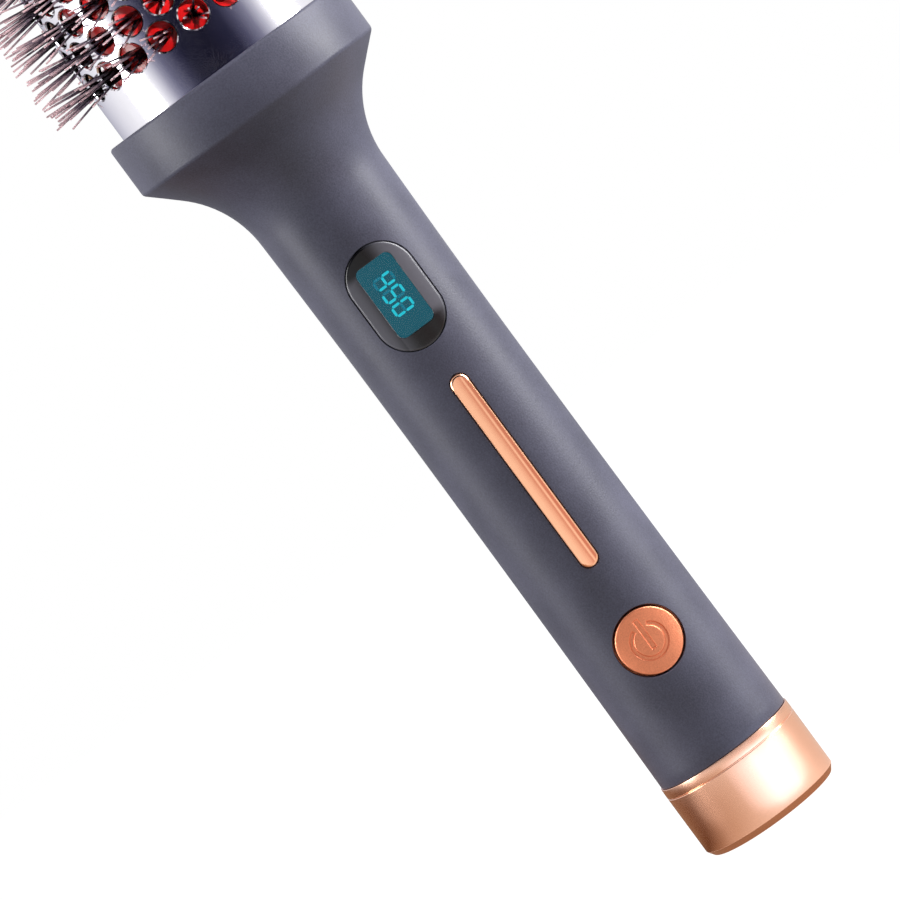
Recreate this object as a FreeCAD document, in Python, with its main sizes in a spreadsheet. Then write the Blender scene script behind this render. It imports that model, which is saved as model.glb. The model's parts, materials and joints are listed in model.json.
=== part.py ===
import FreeCAD, Part
import math
import os
import re
import Sketcher
from FreeCAD import Placement, Rotation, Vector

# Cordless heated round hair brush, standing on its butt cap.
# The axis of the brush is +Z, from the butt to the cool tip, and the display and button face -Y.
# The origin is the centre of the flat end that the brush stands on.  All sizes are in millimetres.

doc = FreeCAD.newDocument("HeatedRoundBrush")

# ---------------------------------------------------------------- driving sizes

SIZES = {
    "fit_gap": (0.1, "clearance between fixed pieces"),
    "run_gap": (0.3, "clearance round pieces that move"),
    "shell_wall": (2.0, "wall of the handle, neck and collar"),
    "handle_radius": (15.15, "handle"),
    "flare_start": (155.6, "height where the flare starts"),
    "flare_bend": (23.5, "bend radius of the flare"),
    "flare_slopes": (2, "short slopes that make up the bend"),
    "collar_top": (189.8, "height of the collar's top face"),
    "collar_height": (11.5, "straight side of the collar"),
    "collar_lip": (3.5, "collar beyond the barrel"),
    "cap_step": (0.45, "butt cap beyond the handle"),
    "cap_height": (17.4, "butt cap"),
    "cap_wall": (1.2, "side of the butt cap"),
    "cap_floor": (2.0, "flat end of the butt cap"),
    "cap_chamfer": (1.2, "lower edge of the butt cap"),
    "socket_length": (7.6, "charging inlet, mouth to board"),
    "socket_recess": (0.4, "inlet's mouth above the flat end"),
    "socket_width": (8.94, "charging inlet, outside"),
    "socket_thick": (3.26, "charging inlet, outside"),
    "socket_wall": (0.3, "sheet of the inlet's shell"),
    "charge_board_wide": (11, "charge board"),
    "tongue_width": (6.7, "contact tongue in the inlet"),
    "tongue_thick": (0.7, "contact tongue in the inlet"),
    "board_thick": (1.6, "both circuit boards"),
    "board_width": (18, "control board"),
    "board_length": (127, "control board"),
    "board_start": (26, "height of the control board's lower end"),
    "cell_room": (0.75, "room in front of and behind a battery cell"),
    "cell_length": (65, "battery cell with its button end"),
    "cell_button": (1.0, "height of the cell's button end"),
    "cell_button_radius": (2.8, "cell's button end"),
    "cell_start": (22, "height of the lower cell's flat end"),
    "tab_thick": (0.3, "nickel tab"),
    "tab_width": (8, "nickel tab"),
    "cradle_depth": (6, "cradle, front to rear"),
    "boss_radius": (3.2, "screw boss across the spigot"),
    "boss_height": (13.8, "height of the boss's axis"),
    "board_ledge": (1.4, "ledge that carries the charge board"),
    "display_height": (132, "centre of the display"),
    "bezel_length": (24.1, "display bezel"),
    "bezel_width": (14.9, "display bezel"),
    "bezel_gap": (0.2, "groove round the bezel"),
    "window_length": (17, "lit window in the bezel"),
    "window_width": (8.6, "lit window in the bezel"),
    "window_corner": (0.9, "corner radius of the window"),
    "lens_rim": (0.25, "thickness of the lens along its sides"),
    "panel_thick": (1.1, "display glass"),
    "backlight_thick": (2.8, "diffuser block behind the display"),
    "holder_inset": (1.0, "holder inside the bezel's outline"),
    "holder_corner": (4.0, "cut corners of the display holder"),
    "holder_wall": (1.2, "wall of the display holder"),
    "strip_gap": (7.85, "strip below the bezel"),
    "strip_length": (48.4, "trim strip"),
    "strip_width": (4.1, "trim strip"),
    "strip_groove": (1.0, "depth of the strip's groove"),
    "strip_proud": (0.45, "strip above the handle"),
    "strip_chamfer": (0.9, "bevelled edge of the strip"),
    "peg_radius": (0.8, "pegs behind the strip"),
    "peg_length": (2.4, "pegs behind the strip"),
    "peg_pitch": (36, "distance between the pegs"),
    "button_gap": (11.4, "button below the strip"),
    "button_radius": (7.0, "power button"),
    "button_proud": (0.15, "button above the handle"),
    "button_travel": (0.5, "press of the button"),
    "button_flange": (1.2, "flange beyond the button's side"),
    "button_flange_thick": (0.8, "flange that keeps the button in"),
    "sleeve_wall": (1.4, "guide sleeve round the button"),
    "switch_width": (6, "tact switch"),
    "switch_tall": (3.4, "tact switch above its board"),
    "plunger_radius": (1.6, "plunger of the tact switch"),
    "plunger_proud": (1.2, "plunger above the switch"),
    "plunger_sink": (0.6, "plunger inside the switch at rest"),
    "barrel_radius": (25.4, "barrel, corner to corner of its folds"),
    "barrel_wall": (1.0, "barrel"),
    "foot_width": (1.1, "rolled foot of the barrel"),
    "foot_thick": (1.0, "rolled foot of the barrel"),
    "seat_depth": (5.6, "barrel's foot below the collar's top"),
    "hole_radius": (3.5, "holes in the barrel, centre to corner"),
    "hole_sides": (4, "sides of a hole's outline"),
    "holes_round": (20, "holes in one row"),
    "row_count": (10, "rows along the barrel"),
    "row_pitch": (6.53, "distance between rows"),
    "first_row": (12.0, "first row above the collar"),
    "last_land": (11.0, "last row below the barrel's end"),
    "hole_phase": (1.5, "turn of the first hole from the front, in degrees"),
    "flange_thick": (3.0, "neck flange"),
    "flange_ring": (6.0, "height of the ring inside the barrel"),
    "lead_bore": (7.0, "hole for the heater leads"),
    "flange_screw_inset": (2.6, "screw axis inside the flange's rim"),
    "small_sides": (8, "flat sides of screws, pegs, leads and their holes"),
    "screw_radius": (1.05, "shank of the small screws"),
    "screw_head": (1.9, "head of the small screws"),
    "screw_head_thick": (1.2, "head of the small screws"),
    "flange_screw_length": (6.6, "flange screw"),
    "base_screw_length": (17, "screw across the spigot"),
    "board_screw_length": (5, "screws of the control board"),
    "board_screw_gap": (6, "board screws above the button and below the bezel"),
    "chip_width": (7, "control chip"),
    "chip_thick": (1.0, "control chip"),
    "chip_gap": (12, "control chip below the strip's middle"),
    "mosfet_width": (5.6, "heater mosfets"),
    "mosfet_length": (6.5, "heater mosfets"),
    "mosfet_thick": (2.3, "heater mosfets"),
    "mosfet_gap": (10, "heater mosfets above the strip's middle"),
    "terminal_width": (14, "lead terminal"),
    "terminal_depth": (9, "lead terminal"),
    "terminal_length": (6, "lead terminal"),
    "core_radius": (20, "tuft core, corner to corner of its flats"),
    "core_wall": (1.6, "tuft core"),
    "tuft_sides": (3, "sides of a tuft"),
    "tuft_root": (0.9, "tuft at the core, centre to corner"),
    "tuft_tip": (4.4, "tuft at its tips, centre to corner"),
    "tuft_reach": (35.7, "tips from the axis"),
    "heater_radius": (10, "heater body"),
    "heater_length": (64, "heater body"),
    "fin_thick": (1.4, "fins of the heater body"),
    "fin_count": (3, "fin webs right through the heater body"),
    "plate_width": (16, "heating plates"),
    "plate_length": (19, "heating plates"),
    "plate_thick": (2.4, "heating plates"),
    "plate_count": (3, "heating plates"),
    "electrode_thick": (0.5, "electrode plates"),
    "electrode_tab": (4, "width of the electrodes' tabs"),
    "lead_radius": (0.9, "insulated leads"),
    "lead_spread": (5, "leads beside the axis"),
    "tip_height": (15, "cool tip beyond the barrel"),
    "tip_plug": (5, "plug of the cool tip inside the barrel"),
    "tip_wall": (2.2, "cool tip"),
    "tip_slope": (4.6, "sloping edge of the cool tip"),
    "fuse_radius": (1.8, "thermal fuse"),
    "fuse_length": (12, "thermal fuse"),
    "sensor_radius": (1.2, "temperature sensor"),
    "sensor_length": (8, "temperature sensor"),
}

sheet = doc.addObject("Spreadsheet::Sheet", "Size")
for row, (name, (number, note)) in enumerate(SIZES.items(), start=1):
    sheet.set(f"A{row}", name)
    sheet.set(f"B{row}", str(number))
    sheet.set(f"C{row}", note)
    sheet.setAlias(f"B{row}", name)
doc.recompute()

# Sizes that follow from the driving ones.  A distance that ends in _front, _back or _floor is
# measured from the brush's axis towards the front.
WORKED_OUT = {
    "collar_radius": "barrel_radius + collar_lip",
    "collar_bore": "collar_radius - shell_wall",
    "collar_bottom": "collar_top - collar_height",
    "barrel_seat": "collar_top - seat_depth",
    "lip_bottom": "barrel_seat + foot_thick + fit_gap",
    "flange_bottom": "barrel_seat - flange_thick",
    "handle_bore": "handle_radius - shell_wall",
    "cap_radius": "handle_radius + cap_step",
    "bend_centre": "handle_radius + flare_bend",
    "bend_reach": "bend_centre - collar_radius",
    "bend_rise": "collar_bottom - flare_start",
    "bend_turn": "atan(bend_rise / bend_reach) - acos(flare_bend / sqrt(bend_reach^2 + bend_rise^2))",
    "slope_turn": "bend_turn / flare_slopes",
    "spigot_radius": "cap_radius - cap_wall - fit_gap",
    "spigot_bottom": "cap_floor + fit_gap",
    "charge_board_bottom": "socket_recess + socket_length",
    "charge_board_long": "2 * sqrt((handle_bore - board_ledge / 2)^2 - (charge_board_wide / 2)^2)",
    "strip_height": "display_height - bezel_length / 2 - strip_gap - strip_length / 2",
    "button_height": "strip_height - strip_length / 2 - button_gap - button_radius",
    "board_screw_low": "button_height + button_radius + button_flange + board_screw_gap",
    "board_screw_high": "display_height - bezel_length / 2 - board_screw_gap",
    "chip_height": "strip_height - chip_gap",
    "mosfet_height": "strip_height + mosfet_gap",
    "board_end": "board_start + board_length",
    "upper_cell_start": "cell_start + cell_length + tab_thick",
    "cells_end": "upper_cell_start + cell_length",
    "panel_front": "sqrt(handle_radius^2 - (window_width / 2)^2) - lens_rim",
    "display_back": "panel_front - panel_thick - backlight_thick",
    "strip_floor": "handle_radius - strip_groove",
    "button_face": "handle_radius + button_proud",
    "sleeve_radius": "button_radius + run_gap + sleeve_wall",
    "sleeve_back": "sqrt(handle_bore^2 - sleeve_radius^2)",
    "button_flange_front": "sleeve_back - run_gap",
    "plunger_front": "button_flange_front - button_flange_thick",
    "switch_front": "plunger_front - plunger_proud",
    "plunger_back": "switch_front - plunger_sink",
    "board_front": "switch_front - switch_tall",
    "board_back": "board_front - board_thick",
    "cradle_radius": "handle_bore - fit_gap",
    "cell_radius": "(cradle_radius + board_back) / 2 - cell_room",
    "cell_offset": "cradle_radius - fit_gap - cell_radius",
    "boss_front": "(spigot_radius + handle_bore) / 2",
    "base_screw_head_back": "base_screw_length / 2",
    "folds_round": "2 * holes_round",
    "fold_turn": "180 / holes_round",
    "fold_cosine": "cos(fold_turn * 0.5 deg)",
    "barrel_top": "collar_top + first_row + (row_count - 1) * row_pitch + last_land",
    "flange_radius": "collar_bore - fit_gap",
    "flange_screw_circle": "flange_radius - flange_screw_inset",
    "core_flat": "core_radius * fold_cosine",
    "core_bore": "(core_radius - core_wall) * fold_cosine",
    "core_top": "barrel_top - tip_plug",
    "heater_start": "barrel_seat + flange_ring",
    "slot_thick": "plate_thick + 2 * electrode_thick + fit_gap",
    "electrode_front": "plate_thick / 2 + electrode_thick",
    "lead_offset": "electrode_front - electrode_thick / 2",
    "tip_top": "barrel_top + tip_height",
}


def formula(text):
    """Point every size in the text at the sheet, and write out every worked-out size."""
    def opened(match):
        word = match.group()
        if word in WORKED_OUT:
            return "(" + formula(WORKED_OUT[word]) + ")"
        return "Size." + word if word in SIZES else word
    return re.sub("[a-z_]+", opened, text)


def number(text):
    """The value of a formula over the sizes."""
    value = sheet.evalExpression(formula(text))
    return float(getattr(value, "Value", value))


# ---------------------------------------------------------------- ways of making a piece

nodes = []


def node(piece, label):
    """Name a finished piece, and keep it for the export."""
    piece.Label = label
    nodes.append(piece)
    return piece


def new(kind, name, **formulas):
    """A new object whose properties follow the sheet."""
    thing = doc.addObject(kind, name)
    for prop, text in formulas.items():
        thing.setExpression(prop, formula(text))
    return thing


def move(thing, x="0", y="0", z="0"):
    """Place an object by three formulas."""
    for axis, text in zip("xyz", (x, y, z)):
        thing.setExpression("Placement.Base." + axis, formula(text))
    return thing


def block(name, wide, back, front, low, high, middle="0"):
    """A box from one distance in front of the axis to another, centred across."""
    thing = new("Part::Box", name, Length=wide, Width=f"({front}) - ({back})", Height=f"({high}) - ({low})")
    return move(thing, x=f"({middle}) - ({wide}) / 2", y=f"-({front})", z=low)


def post(name, radius, low, high, x="0", y="0"):
    """A round bar along the brush's axis."""
    return move(new("Part::Cylinder", name, Radius=radius, Height=f"({high}) - ({low})"), x, y, low)


def rod(name, radius, back, front, x="0", z="0"):
    """A round bar that points to the front."""
    thing = new("Part::Cylinder", name, Radius=radius, Height=f"({front}) - ({back})")
    thing.Placement = Placement(Vector(), Rotation(Vector(1, 0, 0), 90))
    return move(thing, x, f"-({back})", z)


def prism(name, sides, radius, low, high, turn="0", x="0", y="0"):
    """A bar with flat sides along the brush's axis."""
    thing = new("Part::Prism", name, Polygon=sides, Circumradius=radius, Height=f"({high}) - ({low})")
    thing.setExpression("Placement.Rotation.Angle", formula(turn))
    return move(thing, x, y, low)


def front_prism(name, sides, radius, back, front, x="0", z="0"):
    """A bar with flat sides that points to the front."""
    thing = new("Part::Prism", name, Polygon=sides, Circumradius=radius, Height=f"({front}) - ({back})")
    thing.Placement = Placement(Vector(), Rotation(Vector(1, 0, 0), 90))
    return move(thing, x, f"-({back})", z)


def fuse(name, *pieces):
    """Several solids as one."""
    whole = doc.addObject("Part::MultiFuse", name)
    whole.Shapes = list(pieces)
    return whole


def group(name, *pieces):
    """Separate solids that share a node."""
    whole = doc.addObject("Part::Compound", name)
    whole.Links = list(pieces)
    return whole


def cut(name, base, *tools):
    """A solid less one or more others."""
    result = doc.addObject("Part::Cut", name)
    result.Base = base
    result.Tool = tools[0] if len(tools) == 1 else group(name + "Tools", *tools)
    return result


def common(name, base, tool):
    """What two solids share."""
    result = doc.addObject("Part::Common", name)
    result.Base = base
    result.Tool = tool
    return result


def draw(sketch, corners):
    """Draw a closed outline.  A corner is (across, up) or, where an arc leads to the next corner,
    (across, up, radius), with a minus sign before the radius of an arc that runs clockwise."""
    spots = [Vector(number(corner[0]), number(corner[1]), 0) for corner in corners]
    first_ends = []
    last_ends = []
    for index, corner in enumerate(corners):
        start = spots[index]
        end = spots[(index + 1) % len(spots)]
        if len(corner) == 2:
            edge = sketch.addGeometry(Part.LineSegment(start, end))
            first_ends.append((edge, 1))
            last_ends.append((edge, 2))
            continue
        clockwise = corner[2].startswith("-")
        radius = abs(number(corner[2]))
        if clockwise:
            start, end = end, start
        middle = (start + end) * 0.5
        half = (end - start) * 0.5
        away = math.sqrt(max(radius ** 2 - half.Length ** 2, 0)) / half.Length
        centre = middle + Vector(-half.y, half.x, 0) * away
        angles = [math.atan2(end_point.y - centre.y, end_point.x - centre.x) for end_point in (start, end)]
        circle = Part.Circle(centre, Vector(0, 0, 1), radius)
        edge = sketch.addGeometry(Part.ArcOfCircle(circle, angles[0], angles[1]))
        first_ends.append((edge, 2 if clockwise else 1))
        last_ends.append((edge, 1 if clockwise else 2))
        rule = sketch.addConstraint(Sketcher.Constraint("Radius", edge, radius))
        sketch.setExpression(f"Constraints[{rule}]", formula(corner[2].lstrip("-")))
    for index, corner in enumerate(corners):
        joined = (*last_ends[index - 1], *first_ends[index])
        sketch.addConstraint(Sketcher.Constraint("Coincident", *joined))
        spot = spots[index]
        for kind, text, at in (("DistanceX", corner[0], spot.x), ("DistanceY", corner[1], spot.y)):
            rule = sketch.addConstraint(Sketcher.Constraint(kind, *first_ends[index], at))
            sketch.setExpression(f"Constraints[{rule}]", formula(text))


def new_sketch(body, name, role, corners, offset="0"):
    """A sketch on one of the body's own origin planes, moved along the plane's normal."""
    sketch = body.newObject("Sketcher::SketchObject", name)
    plane = [part for part in body.Origin.OriginFeatures if part.Role == role][0]
    sketch.AttachmentSupport = [(plane, "")]
    sketch.MapMode = "FlatFace"
    sketch.setExpression("AttachmentOffset.Base.z", formula(offset))
    draw(sketch, corners)
    return sketch


def turned(name, corners, sweep="360", reverse=False):
    """A body turned about the brush's axis from an outline of radius and height."""
    body = doc.addObject("PartDesign::Body", name)
    profile = new_sketch(body, name + "Profile", "XZ_Plane", corners)
    turn = body.newObject("PartDesign::Revolution", name + "Turned")
    turn.Profile = profile
    turn.ReferenceAxis = (profile, ["V_Axis"])
    turn.Angle = float(sweep)
    turn.Reversed = reverse
    return body


def padded(name, corners, back, front, role="XZ_Plane"):
    """A body padded from an outline, towards the front or, on the XY plane, upwards."""
    body = doc.addObject("PartDesign::Body", name)
    profile = new_sketch(body, name + "Outline", role, corners, back)
    pad = body.newObject("PartDesign::Pad", name + "Pad")
    pad.Profile = profile
    pad.setExpression("Length", formula(f"({front}) - ({back})"))
    return body


def many_sided(sides, radius, turn="0"):
    """An outline with equal sides round the brush's axis."""
    count = round(number(sides))
    turns = [f"(({turn}) + {360 / count * side}) * 1 deg" for side in range(count)]
    return [(f"({radius}) * cos({at})", f"({radius}) * sin({at})") for at in turns]


def chamfered(name, sides, radius, low, high, edge, size, turn="0"):
    """A bar with flat sides along the brush's axis, and one broken edge."""
    body = padded(name, many_sided(sides, radius, turn), low, high, "XY_Plane")
    doc.recompute()
    pad = body.Group[-1]
    faces = pad.Shape.Faces
    end = edge(range(len(faces)), key=lambda index: faces[index].CenterOfMass.z)
    chamfer = body.newObject("PartDesign::Chamfer", name + "Edge")
    chamfer.Base = (pad, [f"Face{end + 1}"])
    chamfer.setExpression("Size", formula(size))
    body.Tip = chamfer
    return body


def stadium(wide, tall, height="0"):
    """An upright outline with straight sides and half-round ends."""
    side = f"({wide}) / 2"
    straight = f"(({tall}) - ({wide})) / 2"
    return [
        (side, f"{height} - {straight}"),
        (side, f"{height} + {straight}", side),
        ("0", f"{height} + ({tall}) / 2", side),
        (f"-{side}", f"{height} + {straight}"),
        (f"-{side}", f"{height} - {straight}", side),
        ("0", f"{height} - ({tall}) / 2", side),
    ]


def lying(corners):
    """The same outline, lying on its side."""
    return [(corner[1], f"-({corner[0]})", *corner[2:]) for corner in corners]


def rounded(wide, tall, corner, height):
    """An upright rectangle with rounded corners."""
    side = f"({wide}) / 2"
    inner = f"(({wide}) / 2 - {corner})"
    end = f"({tall}) / 2"
    straight = f"(({tall}) / 2 - {corner})"
    return [
        (side, f"{height} - {straight}"),
        (side, f"{height} + {straight}", corner),
        (inner, f"{height} + {end}"),
        (f"-{inner}", f"{height} + {end}", corner),
        (f"-{side}", f"{height} + {straight}"),
        (f"-{side}", f"{height} - {straight}", corner),
        (f"-{inner}", f"{height} - {end}"),
        (inner, f"{height} - {end}", corner),
    ]


# ---------------------------------------------------------------- handle shells
# Two moulded half shells, joined on the plane through the axis.  Each holds half of the handle,
# the flared neck and the collar, and ends in a spigot that the butt cap slips over.

SHELL = [
    ("spigot_radius", "spigot_bottom"),
    ("spigot_radius", "cap_height"),
    ("handle_radius", "cap_height"),
    *[(f"bend_centre - flare_bend * cos({slope} * slope_turn)",
       f"flare_start + flare_bend * sin({slope} * slope_turn)")
      for slope in range(round(number("flare_slopes")) + 1)],
    ("collar_radius", "collar_bottom"),
    ("collar_radius", "collar_top"),
    ("barrel_radius + run_gap", "collar_top"),
    ("barrel_radius + run_gap", "lip_bottom"),
    ("collar_bore", "lip_bottom"),
    ("collar_bore", "flange_bottom"),
    ("handle_bore", "flange_bottom"),
    ("handle_bore", "charge_board_bottom"),
    ("handle_bore - board_ledge", "charge_board_bottom"),
    ("handle_bore - board_ledge", "spigot_bottom"),
]


def flange_screw_holes(name, sides):
    """Blind holes in the collar's ledge for the flange screws."""
    deep = "flange_bottom - (flange_screw_length - flange_thick) - fit_gap"
    return [
        prism(f"{name}{quarter}", "small_sides", "screw_radius", deep, "flange_bottom",
              x=f"flange_screw_circle * cos({quarter} deg)",
              y=f"flange_screw_circle * sin({quarter} deg)")
        for quarter in sides
    ]


front_shell = turned("FrontShell", SHELL, "180", reverse=True)
sleeve_bar = rod("SleeveBar", "sleeve_radius", "sleeve_back", "handle_radius", z="button_height")
sleeve_limit = post("SleeveLimit", "handle_bore + shell_wall / 2", "button_height - 2 * sleeve_radius",
                    "button_height + 2 * sleeve_radius")
front_boss_bar = rod("FrontBossBar", "boss_radius", "0", "spigot_radius", z="boss_height")
front_boss_limit = post("FrontBossLimit", "boss_front", "boss_height - 2 * boss_radius",
                        "boss_height + 2 * boss_radius")
front_solid = fuse("FrontSolid", front_shell, common("ButtonSleeve", sleeve_bar, sleeve_limit),
                   common("FrontBoss", front_boss_bar, front_boss_limit))
front_openings = [
    padded("DisplayOpening", stadium("bezel_width + 2 * bezel_gap", "bezel_length + 2 * bezel_gap",
                                     "display_height"), "board_front", "handle_radius + shell_wall"),
    rod("ButtonOpening", "button_radius + run_gap", "board_front", "handle_radius + shell_wall",
        z="button_height"),
    padded("StripGroove", stadium("strip_width + 2 * fit_gap", "strip_length + 2 * fit_gap", "strip_height"),
           "strip_floor", "handle_radius + shell_wall"),
    *[front_prism(f"{name}PegHole", "small_sides", "peg_radius + fit_gap", "board_front", "handle_radius",
                  z=f"strip_height {side} peg_pitch / 2")
      for name, side in (("Lower", "-"), ("Upper", "+"))],
    front_prism("BaseScrewPilot", "small_sides", "screw_radius", "0", "base_screw_length / 2 + fit_gap",
                z="boss_height"),
    *flange_screw_holes("FrontPilot", (225, 315)),
]
node(cut("FrontHousing", front_solid, *front_openings), "front_housing")

rear_shell = turned("RearShell", SHELL, "180")
rear_boss_bar = rod("RearBossBar", "boss_radius", "-spigot_radius", "0", z="boss_height")
rear_boss_limit = post("RearBossLimit", "boss_front", "boss_height - 2 * boss_radius",
                       "boss_height + 2 * boss_radius")
rear_solid = fuse("RearSolid", rear_shell, common("RearBoss", rear_boss_bar, rear_boss_limit))
rear_openings = [
    front_prism("BaseScrewHole", "small_sides", "screw_radius + fit_gap", "-cap_radius", "0",
                z="boss_height"),
    front_prism("BaseScrewSeat", "small_sides", "screw_head + fit_gap",
                "-cap_radius", "-base_screw_head_back", z="boss_height"),
    *flange_screw_holes("RearPilot", (45, 135)),
]
node(cut("RearHousing", rear_solid, *rear_openings), "rear_housing")

# The screw that draws the two shells together stands across the spigot, hidden by the cap.
base_head = front_prism("BaseScrewHead", "small_sides", "screw_head",
                        "-base_screw_head_back - screw_head_thick", "-base_screw_head_back", z="boss_height")
base_shank = front_prism("BaseScrewShank", "small_sides", "screw_radius",
                         "-base_screw_head_back", "base_screw_length / 2", z="boss_height")
node(fuse("BaseScrew", base_head, base_shank), "base_screw")

# ---------------------------------------------------------------- butt cap and charging inlet
# A spun metal cup slips over the spigot.  Its flat end has the slot of a charging inlet, which is
# held by a board whose ends rest on a ledge inside the spigot.

cap_blank = chamfered("CapBlank", "folds_round", "cap_radius", "0", "cap_height", min, "cap_chamfer")
cap_room = prism("CapRoom", "folds_round", "cap_radius - cap_wall", "cap_floor", "cap_height")
inlet_slot = padded("InletSlot", lying(stadium("socket_thick + 2 * fit_gap", "socket_width + 2 * fit_gap")),
                    "-fit_gap", "cap_floor + fit_gap", "XY_Plane")
node(cut("ButtCap", cap_blank, cap_room, inlet_slot), "butt_cap")

socket_shell = padded("SocketShell", lying(stadium("socket_thick", "socket_width")),
                      "socket_recess", "charge_board_bottom", "XY_Plane")
socket_mouth = padded("SocketMouth", lying(stadium("socket_thick - 2 * socket_wall",
                                                   "socket_width - 2 * socket_wall")),
                      "0", "charge_board_bottom", "XY_Plane")
node(cut("ChargeSocket", socket_shell, socket_mouth), "charge_socket")
node(block("SocketTongue", "tongue_width", "-tongue_thick / 2", "tongue_thick / 2",
           "socket_recess + cap_chamfer", "charge_board_bottom"), "socket_tongue")
node(block("ChargeBoard", "charge_board_long", "-charge_board_wide / 2", "charge_board_wide / 2",
           "charge_board_bottom", "charge_board_bottom + board_thick"), "charge_board")

# ---------------------------------------------------------------- battery and cradle
# Two cells lie end to end along the rear wall.  A moulded cradle fills the space between them
# and the control board.

cradle_bar = post("CradleBar", "cradle_radius", "cell_start", "cells_end")
cradle_slab = block("CradleSlab", "2 * cradle_radius", "board_back - cradle_depth", "board_back",
                    "cell_start", "cells_end")
cell_trough = post("CellTrough", "cell_radius + fit_gap", "cell_start", "cells_end", y="cell_offset")
node(cut("BatteryCradle", common("CradleBlank", cradle_bar, cradle_slab), cell_trough,
         *[front_prism(f"BoardScrewPilot{side}", "small_sides", "screw_radius",
                       "board_front - board_screw_length - fit_gap", "board_back",
                       x=f"{side} * (board_width / 2 - screw_head)", z=f"board_screw_{level}")
           for side, level in ((-1, "low"), (1, "high"))]), "battery_cradle")

for count, start in enumerate(("cell_start", "upper_cell_start"), start=1):
    can = prism(f"Cell{count}Can", "holes_round", "cell_radius",
                start, f"{start} + cell_length - cell_button", y="cell_offset")
    button = prism(f"Cell{count}Button", "small_sides", "cell_button_radius",
                   f"{start} + cell_length - cell_button", f"{start} + cell_length", y="cell_offset")
    node(fuse(f"BatteryCell{count}", can, button), f"battery_cell_{count}")

tabs = [
    block(f"Tab{count}", "tab_width", "-cell_offset - tab_width / 2", "-cell_offset + tab_width / 2",
          low, f"{low} + tab_thick")
    for count, low in enumerate(("cell_start - tab_thick", "upper_cell_start - tab_thick", "cells_end"))
]
node(group("BatteryTabs", *tabs), "battery_tabs")

# ---------------------------------------------------------------- control board
# The long board is screwed to the cradle's flat front and carries the switch, the display and
# the parts that drive the heater.

board_blank = block("BoardBlank", "board_width", "board_back", "board_front", "board_start", "board_end")
board_holes = [
    front_prism(f"BoardHole{level}", "small_sides", "screw_radius + fit_gap", "0", "2 * board_front",
                x=f"{side} * (board_width / 2 - screw_head)", z=f"board_screw_{level}")
    for side, level in ((-1, "low"), (1, "high"))
]
node(cut("ControlBoard", board_blank, *board_holes), "control_board")

board_screws = []
for side, level in ((-1, "low"), (1, "high")):
    spot = {"x": f"{side} * (board_width / 2 - screw_head)", "z": f"board_screw_{level}"}
    head = front_prism(f"BoardScrewHead{level}", "small_sides", "screw_head",
                       "board_front", "board_front + screw_head_thick", **spot)
    shank = front_prism(f"BoardScrewShank{level}", "small_sides", "screw_radius",
                        "board_front - board_screw_length", "board_front", **spot)
    board_screws.append(fuse(f"BoardScrew{level}", head, shank))
node(group("BoardScrews", *board_screws), "board_screws")

node(block("ControlChip", "chip_width", "board_front", "board_front + chip_thick",
           "chip_height - chip_width / 2", "chip_height + chip_width / 2"), "control_chip")
mosfets = [
    block(f"Mosfet{count}", "mosfet_width", "board_front", "board_front + mosfet_thick",
          "mosfet_height - mosfet_length / 2", "mosfet_height + mosfet_length / 2",
          middle=f"{side} * board_width / 4")
    for count, side in enumerate((-1, 1))
]
node(group("HeaterMosfets", *mosfets), "heater_mosfets")
node(block("LeadTerminal", "terminal_width", "board_front - terminal_depth", "board_front",
           "board_end", "board_end + terminal_length"), "lead_terminal")

charge_leads = [
    prism(f"ChargeLead{count}", "small_sides", "lead_radius", "charge_board_bottom + board_thick",
          "board_start + lead_spread", x=f"{side} * lead_spread", y="-board_front - lead_radius")
    for count, side in enumerate((-1, 1))
]
node(group("ChargeLeads", *charge_leads), "charge_leads")

# ---------------------------------------------------------------- power button and its switch
# The button slides in a guide sleeve, and a flange behind the sleeve keeps it in.  Its back rests
# on the switch's plunger, and its face follows the curve of the handle.

switch_body = block("SwitchBody", "switch_width", "board_front", "switch_front",
                    "button_height - switch_width / 2", "button_height + switch_width / 2")
switch_bore = front_prism("SwitchBore", "small_sides", "plunger_radius + run_gap",
                          "plunger_back - button_travel - fit_gap", "plunger_front", z="button_height")
node(cut("TactSwitch", switch_body, switch_bore), "tact_switch")
node(front_prism("SwitchPlunger", "small_sides", "plunger_radius", "plunger_back", "plunger_front",
                 z="button_height"), "switch_plunger")

button_bar = rod("ButtonBar", "button_radius", "plunger_front", "button_face + shell_wall", z="button_height")
button_curve = post("ButtonCurve", "button_face", "button_height - 2 * button_radius",
                    "button_height + 2 * button_radius")
button_flange = front_prism("ButtonFlange", "holes_round", "button_radius + button_flange", "plunger_front",
                            "button_flange_front", z="button_height")
node(fuse("PowerButton", common("ButtonCap", button_bar, button_curve), button_flange), "power_button")

# ---------------------------------------------------------------- display
# From the board outwards: an open-backed holder, the diffuser, the glass, a clear lens flush with
# the handle's curve, and the dark bezel round all three.

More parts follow.
